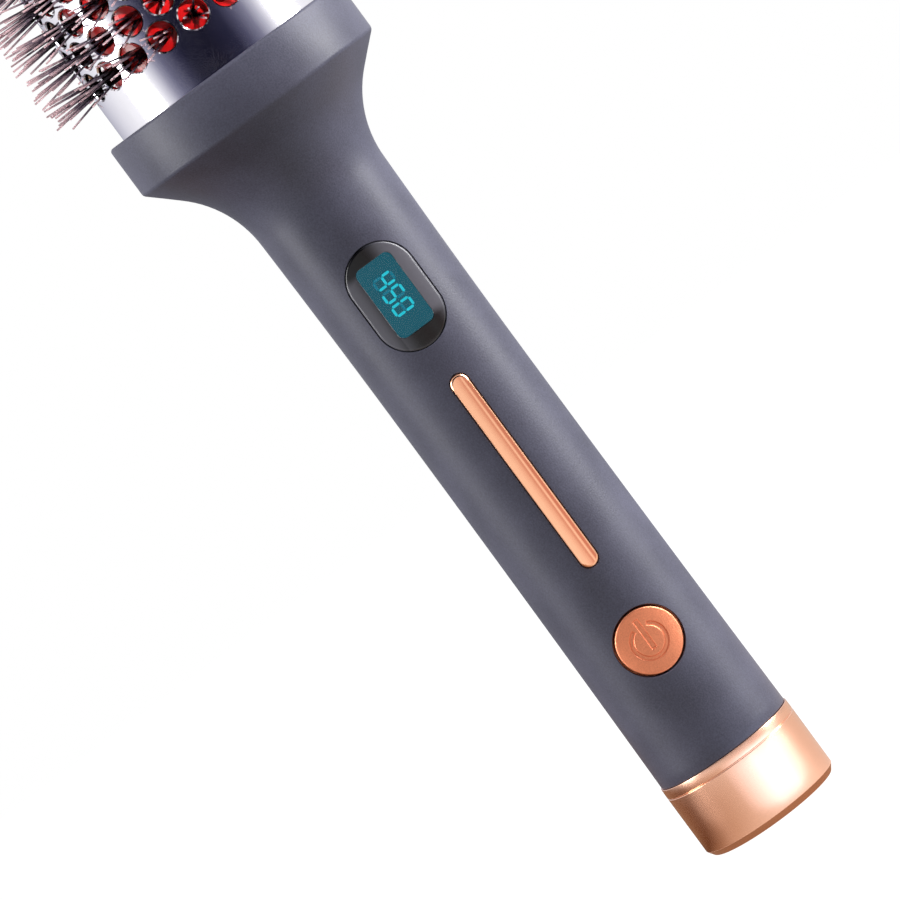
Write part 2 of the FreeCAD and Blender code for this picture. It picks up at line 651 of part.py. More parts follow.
HOLDER_SIDE = "(bezel_width / 2 - holder_inset)"
HOLDER_END = "(bezel_length / 2 - holder_inset)"
holder_blank = padded("HolderBlank", [
    (HOLDER_SIDE, f"display_height - {HOLDER_END} + holder_corner"),
    (HOLDER_SIDE, f"display_height + {HOLDER_END} - holder_corner"),
    (f"{HOLDER_SIDE} - holder_corner", f"display_height + {HOLDER_END}"),
    (f"holder_corner - {HOLDER_SIDE}", f"display_height + {HOLDER_END}"),
    (f"-{HOLDER_SIDE}", f"display_height + {HOLDER_END} - holder_corner"),
    (f"-{HOLDER_SIDE}", f"display_height - {HOLDER_END} + holder_corner"),
    (f"holder_corner - {HOLDER_SIDE}", f"display_height - {HOLDER_END}"),
    (f"{HOLDER_SIDE} - holder_corner", f"display_height - {HOLDER_END}"),
], "board_front", "display_back")
holder_room = block("HolderRoom", "window_width", "0", "display_back - holder_wall",
                    "display_height - window_length / 2", "display_height + window_length / 2")
node(cut("DisplayHolder", holder_blank, holder_room), "display_holder")

PANEL_SPAN = "(window_length - window_corner)"
for name, back, front in (("DisplayBacklight", "display_back", "panel_front - panel_thick"),
                          ("DisplayPanel", "panel_front - panel_thick", "panel_front")):
    piece = block(name, "window_width - window_corner", back, front,
                  f"display_height - {PANEL_SPAN} / 2", f"display_height + {PANEL_SPAN} / 2")
    node(piece, re.sub("(?<!^)([A-Z])", r"_\1", name).lower())

INSIDE_WINDOW = rounded("window_width - fit_gap", "window_length - fit_gap", "window_corner",
                        "display_height")
lens_blank = padded("LensBlank", INSIDE_WINDOW, "panel_front", "handle_radius + lens_rim")
lens_curve = post("LensCurve", "handle_radius", "display_height - window_length",
                  "display_height + window_length")
node(common("DisplayLens", lens_blank, lens_curve), "display_lens")

bezel_blank = padded("BezelBlank", stadium("bezel_width", "bezel_length", "display_height"),
                     "display_back", "handle_radius + lens_rim")
bezel_curve = post("BezelCurve", "handle_radius", "display_height - bezel_length",
                   "display_height + bezel_length")
WINDOW = rounded("window_width", "window_length", "window_corner", "display_height")
bezel_window = padded("BezelWindow", WINDOW, "board_front", "handle_radius + shell_wall")
node(cut("DisplayBezel", common("BezelFace", bezel_blank, bezel_curve), bezel_window), "display_bezel")

# ---------------------------------------------------------------- trim strip
# A bevelled metal bar inlaid in a groove and held by two pegs through the shell.

strip_bar = padded("StripBar", stadium("strip_width", "strip_length", "strip_height"),
                   "strip_floor", "handle_radius + strip_proud")
doc.recompute()
strip_top = min(range(len(strip_bar.Shape.Faces)), key=lambda i: strip_bar.Shape.Faces[i].CenterOfMass.y)
strip_edge = strip_bar.newObject("PartDesign::Chamfer", "StripEdge")
strip_edge.Base = (strip_bar.Group[1], [f"Face{strip_top + 1}"])
strip_edge.setExpression("Size", formula("strip_chamfer"))
strip_bar.Tip = strip_edge
strip_pegs = [
    front_prism(f"{name}StripPeg", "small_sides", "peg_radius", "strip_floor - peg_length", "strip_floor",
                z=f"strip_height {side} peg_pitch / 2")
    for name, side in (("Lower", "-"), ("Upper", "+"))
]
node(fuse("TrimStrip", strip_bar, *strip_pegs), "trim_strip")

# ---------------------------------------------------------------- neck flange
# A heat-resistant disc closes the neck.  It is screwed to the ledge in the collar and carries the
# barrel's foot on its face, inside the lip of the collar, and the tuft core inside its ring.

flange_disc = prism("FlangeDisc", "holes_round", "flange_radius", "flange_bottom", "barrel_seat")
flange_ring = prism("FlangeRing", "folds_round", "barrel_radius - barrel_wall - fit_gap",
                    "flange_bottom", "heater_start", turn="hole_phase")
ring_bore = prism("RingBore", "folds_round", "core_radius + fit_gap", "barrel_seat",
                  "heater_start + fit_gap", turn="hole_phase + fold_turn / 2")
lead_hole = prism("LeadHole", "small_sides", "lead_bore", "flange_bottom - fit_gap", "barrel_seat")
screw_seats = []
flange_screws = []
for quarter in (45, 135, 225, 315):
    spot = {
        "x": f"flange_screw_circle * cos({quarter} deg)",
        "y": f"flange_screw_circle * sin({quarter} deg)",
    }
    screw_seats.append(prism(f"ScrewHole{quarter}", "small_sides", "screw_radius + fit_gap",
                             "flange_bottom", "barrel_seat", **spot))
    screw_seats.append(prism(f"ScrewSeat{quarter}", "small_sides", "screw_head + fit_gap",
                             "barrel_seat - screw_head_thick", "barrel_seat", **spot))
    head = prism(f"FlangeScrewHead{quarter}", "small_sides", "screw_head",
                 "barrel_seat - screw_head_thick", "barrel_seat", **spot)
    shank = prism(f"FlangeScrewShank{quarter}", "small_sides", "screw_radius",
                  "barrel_seat - flange_screw_length", "barrel_seat - screw_head_thick", **spot)
    flange_screws.append(fuse(f"FlangeScrew{quarter}", head, shank))
flange_blank = cut("FlangeBlank", fuse("FlangeSolid", flange_disc, flange_ring), ring_bore, lead_hole)
node(cut("NeckFlange", flange_blank, *screw_seats), "neck_flange")
node(group("FlangeScrews", *flange_screws), "flange_screws")

# ---------------------------------------------------------------- perforated barrel
# The sleeve is folded from sheet with two narrow flats to each hole of a row, so every hole sits
# across one fold.  Each row is turned by one fold from the row below, which staggers the holes.

sleeve = prism("BarrelSleeve", "folds_round", "barrel_radius", "barrel_seat", "barrel_top", turn="hole_phase")
foot = prism("BarrelFoot", "folds_round", "barrel_radius + foot_width", "barrel_seat",
             "barrel_seat + foot_thick", turn="hole_phase")
sleeve_bore = prism("BarrelBore", "folds_round", "barrel_radius - barrel_wall", "barrel_seat", "barrel_top",
                    turn="hole_phase")

front_angle = -90
rows = round(number("row_count"))
around = round(number("holes_round"))
row_heights = [number("collar_top + first_row") + row * number("row_pitch") for row in range(rows)]


def around_barrel(outward, row):
    """Copies of a shape that lies along +X, one for every hole of a row."""
    copies = []
    for place in range(around):
        angle = front_angle + number("hole_phase") + (2 * place + row % 2) * number("fold_turn")
        spot = Placement(Vector(0, 0, row_heights[row]), Rotation(Vector(0, 0, 1), angle))
        copies.append(outward.transformed(spot.toMatrix()))
    return copies


def flat_outline(sides, radius, distance, start=0.0):
    """A closed outline with equal sides that faces along +X.  Its first corner points up, or as
    many sides further round as start says."""
    turns = [2 * math.pi * (side + start) / round(sides) for side in range(round(sides))]
    corners = [Vector(distance, radius * math.sin(turn), radius * math.cos(turn)) for turn in turns]
    return Part.makePolygon(corners + corners[:1])


hole_face = Part.Face(flat_outline(number("hole_sides"), number("hole_radius"), number("core_radius")))
hole_punch = hole_face.extrude(Vector(number("barrel_radius"), 0, 0))
punches = doc.addObject("Part::Feature", "HolePunches")
punches.Shape = Part.makeCompound([punch for row in range(rows) for punch in around_barrel(hole_punch, row)])
barrel_blank = cut("BarrelBlank", fuse("BarrelSolid", sleeve, foot), sleeve_bore)
node(cut("Barrel", barrel_blank, punches), "barrel")

# ---------------------------------------------------------------- tuft core and bristle tufts
# A tube with flats stands inside the barrel.  A tuft of bristles is set in a flat behind every
# hole and spreads through it to well beyond the barrel.

core_bar = prism("CoreBar", "folds_round", "core_radius", "barrel_seat", "core_top",
                 turn="hole_phase + fold_turn / 2")
core_room = prism("CoreRoom", "folds_round", "core_radius - core_wall", "barrel_seat", "core_top",
                  turn="hole_phase + fold_turn / 2")
node(cut("TuftCore", core_bar, core_room), "tuft_core")


def spread(inner, outer):
    """A solid with flat sides between two outlines of as many corners."""
    inner = [edge.firstVertex().Point for edge in inner.Edges]
    outer = [edge.firstVertex().Point for edge in outer.Edges]
    count = len(inner)
    faces = [Part.Face(Part.makePolygon(ring + ring[:1])) for ring in (inner, outer)]
    for index in range(count):
        after = (index + 1) % count
        side = [inner[index], inner[after], outer[after], outer[index], inner[index]]
        faces.append(Part.Face(Part.makePolygon(side)))
    return Part.makeSolid(Part.makeShell(faces))


root = flat_outline(number("tuft_sides"), number("tuft_root"), number("core_flat"), start=0.5)
tips = flat_outline(number("tuft_sides"), number("tuft_tip"), number("tuft_reach"), start=0.5)
tuft = spread(root, tips)
for row in range(rows):
    tuft_row = doc.addObject("Part::Feature", f"TuftRow{row + 1}")
    tuft_row.Shape = Part.makeCompound(around_barrel(tuft, row))
    node(tuft_row, f"tuft_row_{row + 1:02d}")

# ---------------------------------------------------------------- heater inside the core
# A finned aluminium body is pressed into the core.  Ceramic plates lie in its slot between two
# electrodes, whose tabs reach down to the leads in the neck.

heater_bar = post("HeaterBar", "heater_radius", "heater_start", "heater_start + heater_length")
fins = []
for web in range(round(number("fin_count"))):
    fin = block(f"Fin{web}", "2 * (core_bore - fit_gap)", "-fin_thick / 2", "fin_thick / 2",
                "0", "heater_length")
    turner = group(f"FinWeb{web}", fin)
    turner.Placement = Placement(Vector(), Rotation(Vector(0, 0, 1), 180 * (web + 0.5) / number("fin_count")))
    turner.setExpression("Placement.Base.z", formula("heater_start"))
    fins.append(turner)
heater_slot = block("HeaterSlot", "plate_width + 2 * fit_gap", "-slot_thick / 2", "slot_thick / 2",
                    "heater_start", "heater_start + heater_length")
node(cut("HeaterBody", fuse("HeaterSolid", heater_bar, *fins), heater_slot), "heater_body")

plate_pitch = "(heater_length - plate_length) / (plate_count - 1)"
plates = [
    block(f"Plate{count}", "plate_width", "-plate_thick / 2", "plate_thick / 2",
          f"heater_start + {count} * {plate_pitch}", f"heater_start + {count} * {plate_pitch} + plate_length")
    for count in range(round(number("plate_count")))
]
node(group("PtcPlates", *plates), "ptc_plates")

electrodes = []
heater_leads = []
for side in (-1, 1):
    inner = f"{side} * lead_offset - electrode_thick / 2"
    outer = f"{side} * lead_offset + electrode_thick / 2"
    sheet_metal = block(f"Electrode{side}", "plate_width", inner, outer, "heater_start",
                        "heater_start + heater_length")
    tab = block(f"ElectrodeTab{side}", "electrode_tab", inner, outer, "barrel_seat", "heater_start",
                middle=f"{side} * lead_spread")
    electrodes.append(fuse(f"ElectrodePlate{side}", sheet_metal, tab))
    heater_leads.append(prism(f"HeaterLead{side}", "small_sides", "lead_radius",
                              "board_end + terminal_length", "barrel_seat",
                              x=f"{side} * lead_spread", y=f"-{side} * lead_offset"))
node(group("ElectrodePlates", *electrodes), "electrode_plates")
node(group("HeaterLeads", *heater_leads), "heater_leads")

node(prism("ThermalFuse", "small_sides", "fuse_radius", "heater_start + fuse_length",
           "heater_start + 2 * fuse_length", x="heater_radius + fuse_radius + fit_gap"), "thermal_fuse")
node(prism("TemperatureSensor", "small_sides", "sensor_radius", "heater_start + sensor_length",
           "heater_start + 2 * sensor_length", x="-heater_radius - sensor_radius - fit_gap"),
     "temperature_sensor")

# ---------------------------------------------------------------- cool tip
# A hollow moulded end with a plug inside the barrel.  The plug's lower face holds the core down.

tip_dome = chamfered("TipDome", "folds_round", "barrel_radius", "barrel_top", "tip_top", max, "tip_slope",
                     turn="hole_phase")
tip_plug = prism("TipPlug", "folds_round", "barrel_radius - barrel_wall - fit_gap", "core_top", "barrel_top",
                 turn="hole_phase")
tip_room = prism("TipRoom", "holes_round", "core_radius - core_wall - tip_wall", "core_top",
                 "tip_top - tip_wall", turn="hole_phase")
node(cut("CoolTip", fuse("TipSolid", tip_dome, tip_plug), tip_room), "cool_tip")

# ---------------------------------------------------------------- checks and export

doc.recompute()
for thing in doc.Objects:
    if "Invalid" in thing.State or "Error" in thing.State:
        raise RuntimeError(f"{thing.Name} did not build: {thing.State}")
for piece in nodes:
    if piece.Shape.isNull() or not piece.Shape.isValid() or not piece.Shape.Solids:
        raise RuntimeError(f"{piece.Label} has no sound shape")

os.makedirs("parts", exist_ok=True)
for piece in nodes:
    piece.Shape.exportStep(os.path.join("parts", piece.Label + ".step"))
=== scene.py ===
import json
import math

import bmesh
import bpy
from mathutils import Matrix, Vector


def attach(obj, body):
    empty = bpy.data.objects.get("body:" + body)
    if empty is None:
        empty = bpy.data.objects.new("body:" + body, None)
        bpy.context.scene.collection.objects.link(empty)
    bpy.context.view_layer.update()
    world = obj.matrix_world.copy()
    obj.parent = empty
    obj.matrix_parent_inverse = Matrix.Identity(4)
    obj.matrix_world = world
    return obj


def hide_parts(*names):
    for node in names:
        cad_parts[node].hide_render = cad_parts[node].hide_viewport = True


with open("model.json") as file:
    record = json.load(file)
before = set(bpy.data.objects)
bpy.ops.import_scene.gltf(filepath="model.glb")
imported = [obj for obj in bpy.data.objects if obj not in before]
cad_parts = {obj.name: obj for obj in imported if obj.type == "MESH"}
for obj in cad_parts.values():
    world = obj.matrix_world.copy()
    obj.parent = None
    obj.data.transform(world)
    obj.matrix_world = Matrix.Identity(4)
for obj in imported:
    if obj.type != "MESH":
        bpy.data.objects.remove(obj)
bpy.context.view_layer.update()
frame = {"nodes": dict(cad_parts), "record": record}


# ---------------------------------------------------------------- handle shells
# Two moulded halves of the handle, split left and right of the button, slightly
# waisted, flaring into the wide collar that carries the barrel. Soft-touch
# lacquered plastic; the front half has the openings for display, strip and button.

MM = 0.001
HANDLE_FOOT, GRIP_START, GRIP_STEP = 17.45, 20.0, 3.39
WAIST_HEIGHT, WAIST_RADIUS = 108.0, 14.98
FOOT_RADIUS, FLARE_RADIUS = 15.55, 15.45
FLARE_START, FLARE_BEND, FLARE_TURN = 155.6, 23.5, math.radians(47.6)
COLLAR_RADIUS, COLLAR_TOP = 28.9, 189.8
SHELL_INSIDE = 13.1
SHELL_FLATS = 96


def linear(red, green, blue):
    """A colour given in 0 to 255 as a screen shows it, ready for a shader socket."""
    parts = [c / 255 for c in (red, green, blue)]
    return tuple(c / 12.92 if c < 0.04045 else ((c + 0.055) / 1.055) ** 2.4 for c in parts) + (1.0,)


def feed(tree, socket, value):
    """Sets a socket to a number or colour, or joins another node's socket to it."""
    if isinstance(value, bpy.types.NodeSocket):
        tree.links.new(value, socket)
    else:
        socket.default_value = value


def step_in(tree, kind, **links):
    """One node with its named inputs joined or set."""
    node = tree.nodes.new(kind)
    for label, value in links.items():
        feed(tree, node.inputs[label.replace("_", " ")], value)
    return node


def reckon(tree, operation, *terms):
    """One sum in a node tree; each term is a number or a socket."""
    node = tree.nodes.new("ShaderNodeMath")
    node.operation = operation
    for socket, term in zip(node.inputs, terms):
        feed(tree, socket, term)
    return node.outputs[0]


def times(tree, total, *others):
    for other in others:
        total = reckon(tree, "MULTIPLY", total, other)
    return total


def plus(tree, total, *others):
    for other in others:
        total = reckon(tree, "ADD", total, other)
    return total


def place(tree):
    """The point on the piece, in metres, in the brush's own frame."""
    return tree.nodes.new("ShaderNodeTexCoord").outputs["Object"]


def split(tree, point):
    """The three numbers of a point."""
    return step_in(tree, "ShaderNodeSeparateXYZ", Vector=point).outputs


def grain(tree, size, detail=3.0):
    """Fine unevenness, 0 to 1, whose spots are about `size` metres across."""
    noise = step_in(tree, "ShaderNodeTexNoise", Vector=place(tree), Scale=1 / size, Detail=detail)
    return noise.outputs["Fac"]


def between(tree, amount, low, high, start=0.0, end=1.0):
    """A number that goes from low to high while the amount goes from start to end."""
    return step_in(tree, "ShaderNodeMapRange", Value=amount, From_Min=start, From_Max=end, To_Min=low,
                   To_Max=high).outputs[0]


def blend_colours(tree, amount, first, second):
    """The first colour where the amount is 0, the second where it is 1."""
    node = tree.nodes.new("ShaderNodeMix")
    node.data_type = "RGBA"
    feed(tree, node.inputs[0], amount)
    feed(tree, node.inputs[6], first)
    feed(tree, node.inputs[7], second)
    return node.outputs[2]


def shade(colour, factor):
    """The same colour, darker or lighter."""
    return tuple(min(1.0, c * factor) for c in colour[:3]) + (1.0,)


def shader_of(material):
    return material.node_tree.nodes["Principled BSDF"]


def surface(name, colour, roughness, spot=0.0004, mottle=0.08, depth=0.000004, matting=0.06, **others):
    """A finish with fine mottling in its colour, its roughness and its relief.

    The others are the shader's own inputs, by name."""
    material = bpy.data.materials.new(name)
    material.use_nodes = True
    tree = material.node_tree
    shader = shader_of(material)
    for label, value in others.items():
        shader.inputs[label.replace("_", " ")].default_value = value
    spots = grain(tree, spot)
    patches = grain(tree, 0.012, 2.0)
    mixed = plus(tree, times(tree, spots, 0.6), times(tree, patches, 0.4))
    spread = between(tree, mixed, 0.0, 1.0, 0.3, 0.7)
    colours = blend_colours(tree, spread, shade(colour, 1 - mottle), shade(colour, 1 + mottle))
    feed(tree, shader.inputs["Base Color"], colours)
    rough = between(tree, patches, roughness - matting, roughness + matting, 0.3, 0.7)
    feed(tree, shader.inputs["Roughness"], rough)
    bump = step_in(tree, "ShaderNodeBump", Strength=1.0, Distance=depth, Height=spots)
    feed(tree, shader.inputs["Normal"], bump.outputs[0])
    return material


def eased(corners, steps=5):
    """A profile through corners (radius, height, rounding), each rounded by its own radius."""
    points = []
    for before, corner, after in zip(corners[-1:] + corners[:-1], corners, corners[1:] + corners[:1]):
        here = Vector(corner[:2])
        rounding = corner[2] if len(corner) > 2 else 0.0
        if not rounding:
            points.append(here)
            continue
        back = (Vector(before[:2]) - here).normalized()
        ahead = (Vector(after[:2]) - here).normalized()
        half = back.angle(ahead) / 2
        centre = here + (back + ahead).normalized() * (rounding / math.sin(half))
        start = here + back * (rounding / math.tan(half)) - centre
        end = here + ahead * (rounding / math.tan(half)) - centre
        turn = math.atan2(start.x * end.y - start.y * end.x, start.dot(end))
        for step in range(steps + 1):
            angle = turn * step / steps
            points.append(centre + Vector((start.x * math.cos(angle) - start.y * math.sin(angle),
                                           start.x * math.sin(angle) + start.y * math.cos(angle))))
    return points


def join_loops(bm, loops, whole=True, capped=False):
    """Walls between neighbouring loops of corners, and caps on both ends; a loop of one corner is a pole."""
    for low, high in zip(loops, loops[1:]):
        count = max(len(low), len(high))
        for column in range(count if whole else count - 1):
            ring = [low[column % len(low)], low[(column + 1) % len(low)],
                    high[(column + 1) % len(high)], high[column % len(high)]]
            corners = [c for i, c in enumerate(ring) if c not in ring[:i]]
            if len(corners) > 2:
                bm.faces.new(corners)
    if capped:
        bm.faces.new(loops[0])
        bm.faces.new(loops[-1])


def placed(name, data):
    """A new object in the scene that holds the data."""
    holder = bpy.data.objects.new(name, data)
    bpy.context.scene.collection.objects.link(holder)
    return holder


def made_of(name, bm, crease=32.0):
    """Turns the drawn mesh into an object with outward faces, smooth but for its creases."""
    bmesh.ops.recalc_face_normals(bm, faces=bm.faces)
    mesh = bpy.data.meshes.new(name)
    bm.to_mesh(mesh)
    bm.free()
    mesh.shade_smooth()
    mesh.set_sharp_from_angle(angle=math.radians(crease))
    return placed(name, mesh)


def round_axis(radius, angle, height):
    """A point in metres at a radius and height in millimetres; angle 0 faces the front."""
    return Vector((radius * math.sin(angle), -radius * math.cos(angle), height)) * MM


def turned(name, profile, flats, crease=32.0, ring=False):
    """A body turned about the brush's axis from its profile, which a ring closes."""
    bm = bmesh.new()
    loops = []
    for radius, height in profile:
        turns = [math.tau * i / flats for i in range(flats if radius > 0 else 1)]
        loops.append([bm.verts.new(round_axis(radius, turn, height)) for turn in turns])
    join_loops(bm, loops + loops[:1] if ring else loops)
    return made_of(name, bm, crease)


def half_shell(name, profile, first, flats, seam=0.12):
    """One half of a split shell: a closed ring profile through half a turn, eased at its two seams."""
    bm = bmesh.new()
    step = math.pi / flats
    turns = [0.0, step * 0.35, step] + [step * i for i in range(2, flats)] + [math.pi - step * 0.35, math.pi]
    loops = []
    for radius, height in profile:
        loop = []
        for index, turn in enumerate(turns):
            outer = radius > SHELL_INSIDE + 0.5
            worn = seam if outer and index in (0, len(turns) - 1) else 0.0
            loop.append(bm.verts.new(round_axis(radius - worn, first + turn, height)))
        loops.append(loop)
    join_loops(bm, loops + loops[:1], whole=False)
    for end in (0, -1):
        bm.faces.new([loop[end] for loop in loops])
    return made_of(name, bm)


def waist(height):
    """The handle's radius at a height: narrowest above the middle, wider at both ends."""
    end, widest = (HANDLE_FOOT, FOOT_RADIUS) if height < WAIST_HEIGHT else (FLARE_START, FLARE_RADIUS)
    return WAIST_RADIUS + (widest - WAIST_RADIUS) * ((height - WAIST_HEIGHT) / (end - WAIST_HEIGHT)) ** 2


def shell_profile():
    """The wall of the handle in section, up its outside and down its inside."""
    foot = [(FOOT_RADIUS - 0.28, HANDLE_FOOT, 0), (FOOT_RADIUS - 0.08, HANDLE_FOOT + 0.07, 0),
            (FOOT_RADIUS, HANDLE_FOOT + 0.28, 0)]
    grip = [(waist(height), height, 0) for height in [GRIP_START + GRIP_STEP * i for i in range(40)]]
    flare = [(FLARE_RADIUS + FLARE_BEND * (1 - math.cos(bend)), FLARE_START + FLARE_BEND * math.sin(bend), 0)
             for bend in [FLARE_TURN * i / 14 for i in range(15)]]
    collar = [(25.7, 175.38, 0), (COLLAR_RADIUS, 178.3, 1.3), (COLLAR_RADIUS, COLLAR_TOP, 0.8),
              (25.75, COLLAR_TOP, 0.35), (25.75, 186.2, 0)]
    inside = [(22.0, 181.2, 0), (14.4, 168.0, 0), (SHELL_INSIDE, 160.0, 0), (SHELL_INSIDE, HANDLE_FOOT, 0)]
    return eased(foot + grip + flare + collar + inside)


def along_slot(width, length, corner, count):
    """Even points round an oblong with rounded corners, as (x, z), from the middle of its top."""
    straight, side, bend = width / 2 - corner, length - 2 * corner, math.pi * corner / 2
    runs = [straight, bend, side, bend, 2 * straight, bend, side, bend, straight]
    centres = [(1, 1), (1, -1), (-1, -1), (-1, 1)]
    points = []
    for index in range(count):
        left = sum(runs) * index / count
        run = 0
        while left > runs[run]:
            left -= runs[run]
            run += 1
        if run % 2:
            right, up = centres[run // 2]
            angle = math.pi / 2 - (run // 2) * math.pi / 2 - left / corner
            points.append((right * straight + corner * math.cos(angle),
                           up * side / 2 + corner * math.sin(angle)))
        else:
            points.append(((left, length / 2), (width / 2, side / 2 - left), (straight - left, -length / 2),
                           (-width / 2, -side / 2 + left), (-straight + left, length / 2))[run // 2])
    return points


def on_handle(x, height, proud=0.0):
    """A point on the front of the handle, in metres, raised by `proud` millimetres."""
    return Vector((x, -math.sqrt((waist(height) + proud) ** 2 - x * x), height)) * MM


def pressed_flat(bm, loop, depth):
    """A copy of a loop of corners in the flat plane that lies `depth` millimetres before the axis."""
    return [bm.verts.new((v.co.x, -depth * MM, v.co.z)) for v in loop]


def opening_cutter(name, width, length, corner, height, depth):
    """The tool for an opening in the front half: straight sides and an eased rim that follows the handle."""
    bm = bmesh.new()
    loops = []
    for grow, proud in ((0.2, 3.0), (0.2, 0.1), (0.12, -0.04), (0.03, -0.12), (0.0, -0.26)):
        outline = along_slot(width + 2 * grow, length + 2 * grow, corner + grow, 96)
        loops.append([bm.verts.new(on_handle(x, z + height, proud)) for x, z in outline])
    floor = pressed_flat(bm, loops[-1], depth)
    lid = pressed_flat(bm, loops[0], 30)
    join_loops(bm, [lid] + loops + [floor], capped=True)
    return made_of(name, bm)


def settled(piece):
    """Keeps what the piece's modifier makes as its plain mesh, and takes the modifier off."""
    evaluated = piece.evaluated_get(bpy.context.evaluated_depsgraph_get())
    mesh = bpy.data.meshes.new_from_object(evaluated)
    piece.modifiers.clear()
    piece.data = mesh
    return piece


def cut_away(piece, cutter):
    """Cuts the tool's shape out of the piece and puts the tool away."""
    bool_cut = piece.modifiers.new("opening", "BOOLEAN")
    bool_cut.operation, bool_cut.solver, bool_cut.object = "DIFFERENCE", "EXACT", cutter
    mesh = settled(piece).data
    mesh.shade_smooth()
    mesh.set_sharp_from_angle(angle=math.radians(32))
    bpy.data.objects.remove(cutter)


def fitted(piece, material, slot, body, *nodes):
    """Gives the piece its finish and puts it on its body, in place of the named solids."""
    piece.data.materials.clear()
    piece.data.materials.append(material)
    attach(piece, body)
    if nodes:
        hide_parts(*nodes)
    return piece


BUTTON_HEIGHT, BUTTON_RADIUS = 45.4, 7.0
STRIP_HEIGHT, STRIP_WIDTH, STRIP_LENGTH = 88.3, 4.0, 47.9
DISPLAY_HEIGHT, DISPLAY_WIDTH, DISPLAY_LENGTH = 132.05, 14.9, 24.0

soft_touch = surface("soft_touch_slate", linear(93, 93, 110), 0.42, spot=0.00034, mottle=0.3, depth=0.00003,
                     Specular_IOR_Level=0.36)

shell_wall = shell_profile()
front_half = half_shell("handle_front", shell_wall, -math.pi / 2, SHELL_FLATS)
for opening, wide, long, gap, height, depth in (
        ("cut_display", DISPLAY_WIDTH, DISPLAY_LENGTH, 0.1, DISPLAY_HEIGHT, 8.0),
        ("cut_strip", STRIP_WIDTH, STRIP_LENGTH, 0.15, STRIP_HEIGHT, 14.15),
        ("cut_button", 2 * BUTTON_RADIUS, 2 * BUTTON_RADIUS, 0.42, BUTTON_HEIGHT, 8.0)):
    cutter = opening_cutter(opening, wide + 2 * gap, long + 2 * gap, wide / 2 + gap, height, depth)
    cut_away(front_half, cutter)
fitted(front_half, soft_touch, "housing_plastic", "brush", "front_housing")
rear_half = half_shell("handle_rear", shell_wall, math.pi / 2, SHELL_FLATS)
fitted(rear_half, soft_touch, "housing_plastic", "brush", "rear_housing")


# ---------------------------------------------------------------- display
# A glossy oval bezel dropped into the handle, with a clear window over a small
# lit liquid-crystal panel. The panel shows the set temperature in lit segments.

WINDOW_HEIGHT, WINDOW_WIDTH, WINDOW_LENGTH, WINDOW_CORNER = 132.4, 8.6, 16.75, 1.5
PANEL_FRONT, PANEL_BACK, BEZEL_BACK = 14.277, 13.177, 10.4
FIGURE_PITCH, FIGURE_WIDTH, FIGURE_TALL, BAR_WIDTH = 3.2, 2.65, 4.7, 0.55
SEGMENTS = {"4": "bcfg", "5": "acdfg", "0": "abcdef"}


def bezel_body():
    """The bezel: a rim round an open window, with walls down to its flat back."""
    outlines = []
    for inset, proud in ((0.0, -0.9), (0.0, -0.24), (0.09, -0.09), (0.24, -0.02), (0.45, 0.0)):
        face = [(x, z + DISPLAY_HEIGHT) for x, z in along_slot(
            DISPLAY_WIDTH - 2 * inset, DISPLAY_LENGTH - 2 * inset, DISPLAY_WIDTH / 2 - inset, 160)]
        outlines.append((face, proud))
    window = [(x, z + WINDOW_HEIGHT) for x, z in along_slot(WINDOW_WIDTH, WINDOW_LENGTH, WINDOW_CORNER, 160)]
    for step in range(1, 16):
        share = step / 16
        between_them = [(x + (u - x) * share, z + (v - z) * share) for (x, z), (u, v) in zip(face, window)]
        outlines.append((between_them, 0.0))
    outlines += [([(x * 1.02, z) for x, z in window], -0.01), (window, -0.10)]
    bm = bmesh.new()
    loops = [[bm.verts.new(on_handle(x, z, proud)) for x, z in outline] for outline, proud in outlines]
    hem, wall = [pressed_flat(bm, loop, BEZEL_BACK) for loop in (loops[0], loops[-1])]
    join_loops(bm, [wall, hem] + loops + [wall])
    return made_of("display_frame", bm)


def trued(piece, skin):
    """Gives faces on the skin, a radius by height, true radial normals, for a mirror without ripples."""
    mesh = piece.data
    normals = [corner.vector.copy() for corner in mesh.corner_normals]
    for face in mesh.polygons:
        points = [mesh.vertices[v].co for v in face.vertices]
        if min(point.xy.length / MM - skin(point.z / MM) for point in points) > -0.002:
            for corner, point in zip(face.loop_indices, points):
                normals[corner] = point.xy.normalized().to_3d()
    mesh.normals_split_custom_set(normals)
    return piece


def plate_in_window(name, shrink, front, back):
    """A rounded plate that fills the window: rows of points across it, its front at front(x, z)."""
    bm = bmesh.new()
    half_w, half_l = WINDOW_WIDTH / 2 - shrink, WINDOW_LENGTH / 2 - shrink
    bend = WINDOW_CORNER - shrink / 2
    levels = [math.sin(math.pi / 2 * k / 6) for k in range(7)]
    heights = [-half_l + bend * (1 - v) for v in reversed(levels)]
    heights += [-half_l + bend + (2 * half_l - 2 * bend) * k / 16 for k in range(1, 16)]
    heights += [half_l - bend * (1 - v) for v in levels]
    rims = []
    for depth in (front, back):
        rows = []
        for z in heights:
            into = max(0.0, abs(z) - (half_l - bend))
            reach = half_w - bend + math.sqrt(max(0.0, bend ** 2 - into ** 2))
            level = z + WINDOW_HEIGHT
            across = [reach * t / 10 for t in range(-10, 11)]
            rows.append([bm.verts.new(Vector((x, -depth(x, level), level)) * MM) for x in across])
        join_loops(bm, rows, whole=False)
        way_back = rows[-1][1:] + [row[-1] for row in rows[-2::-1]] + rows[0][-2:0:-1]
        rims.append([row[0] for row in rows] + way_back)
    join_loops(bm, rims)
    return made_of(name, bm)


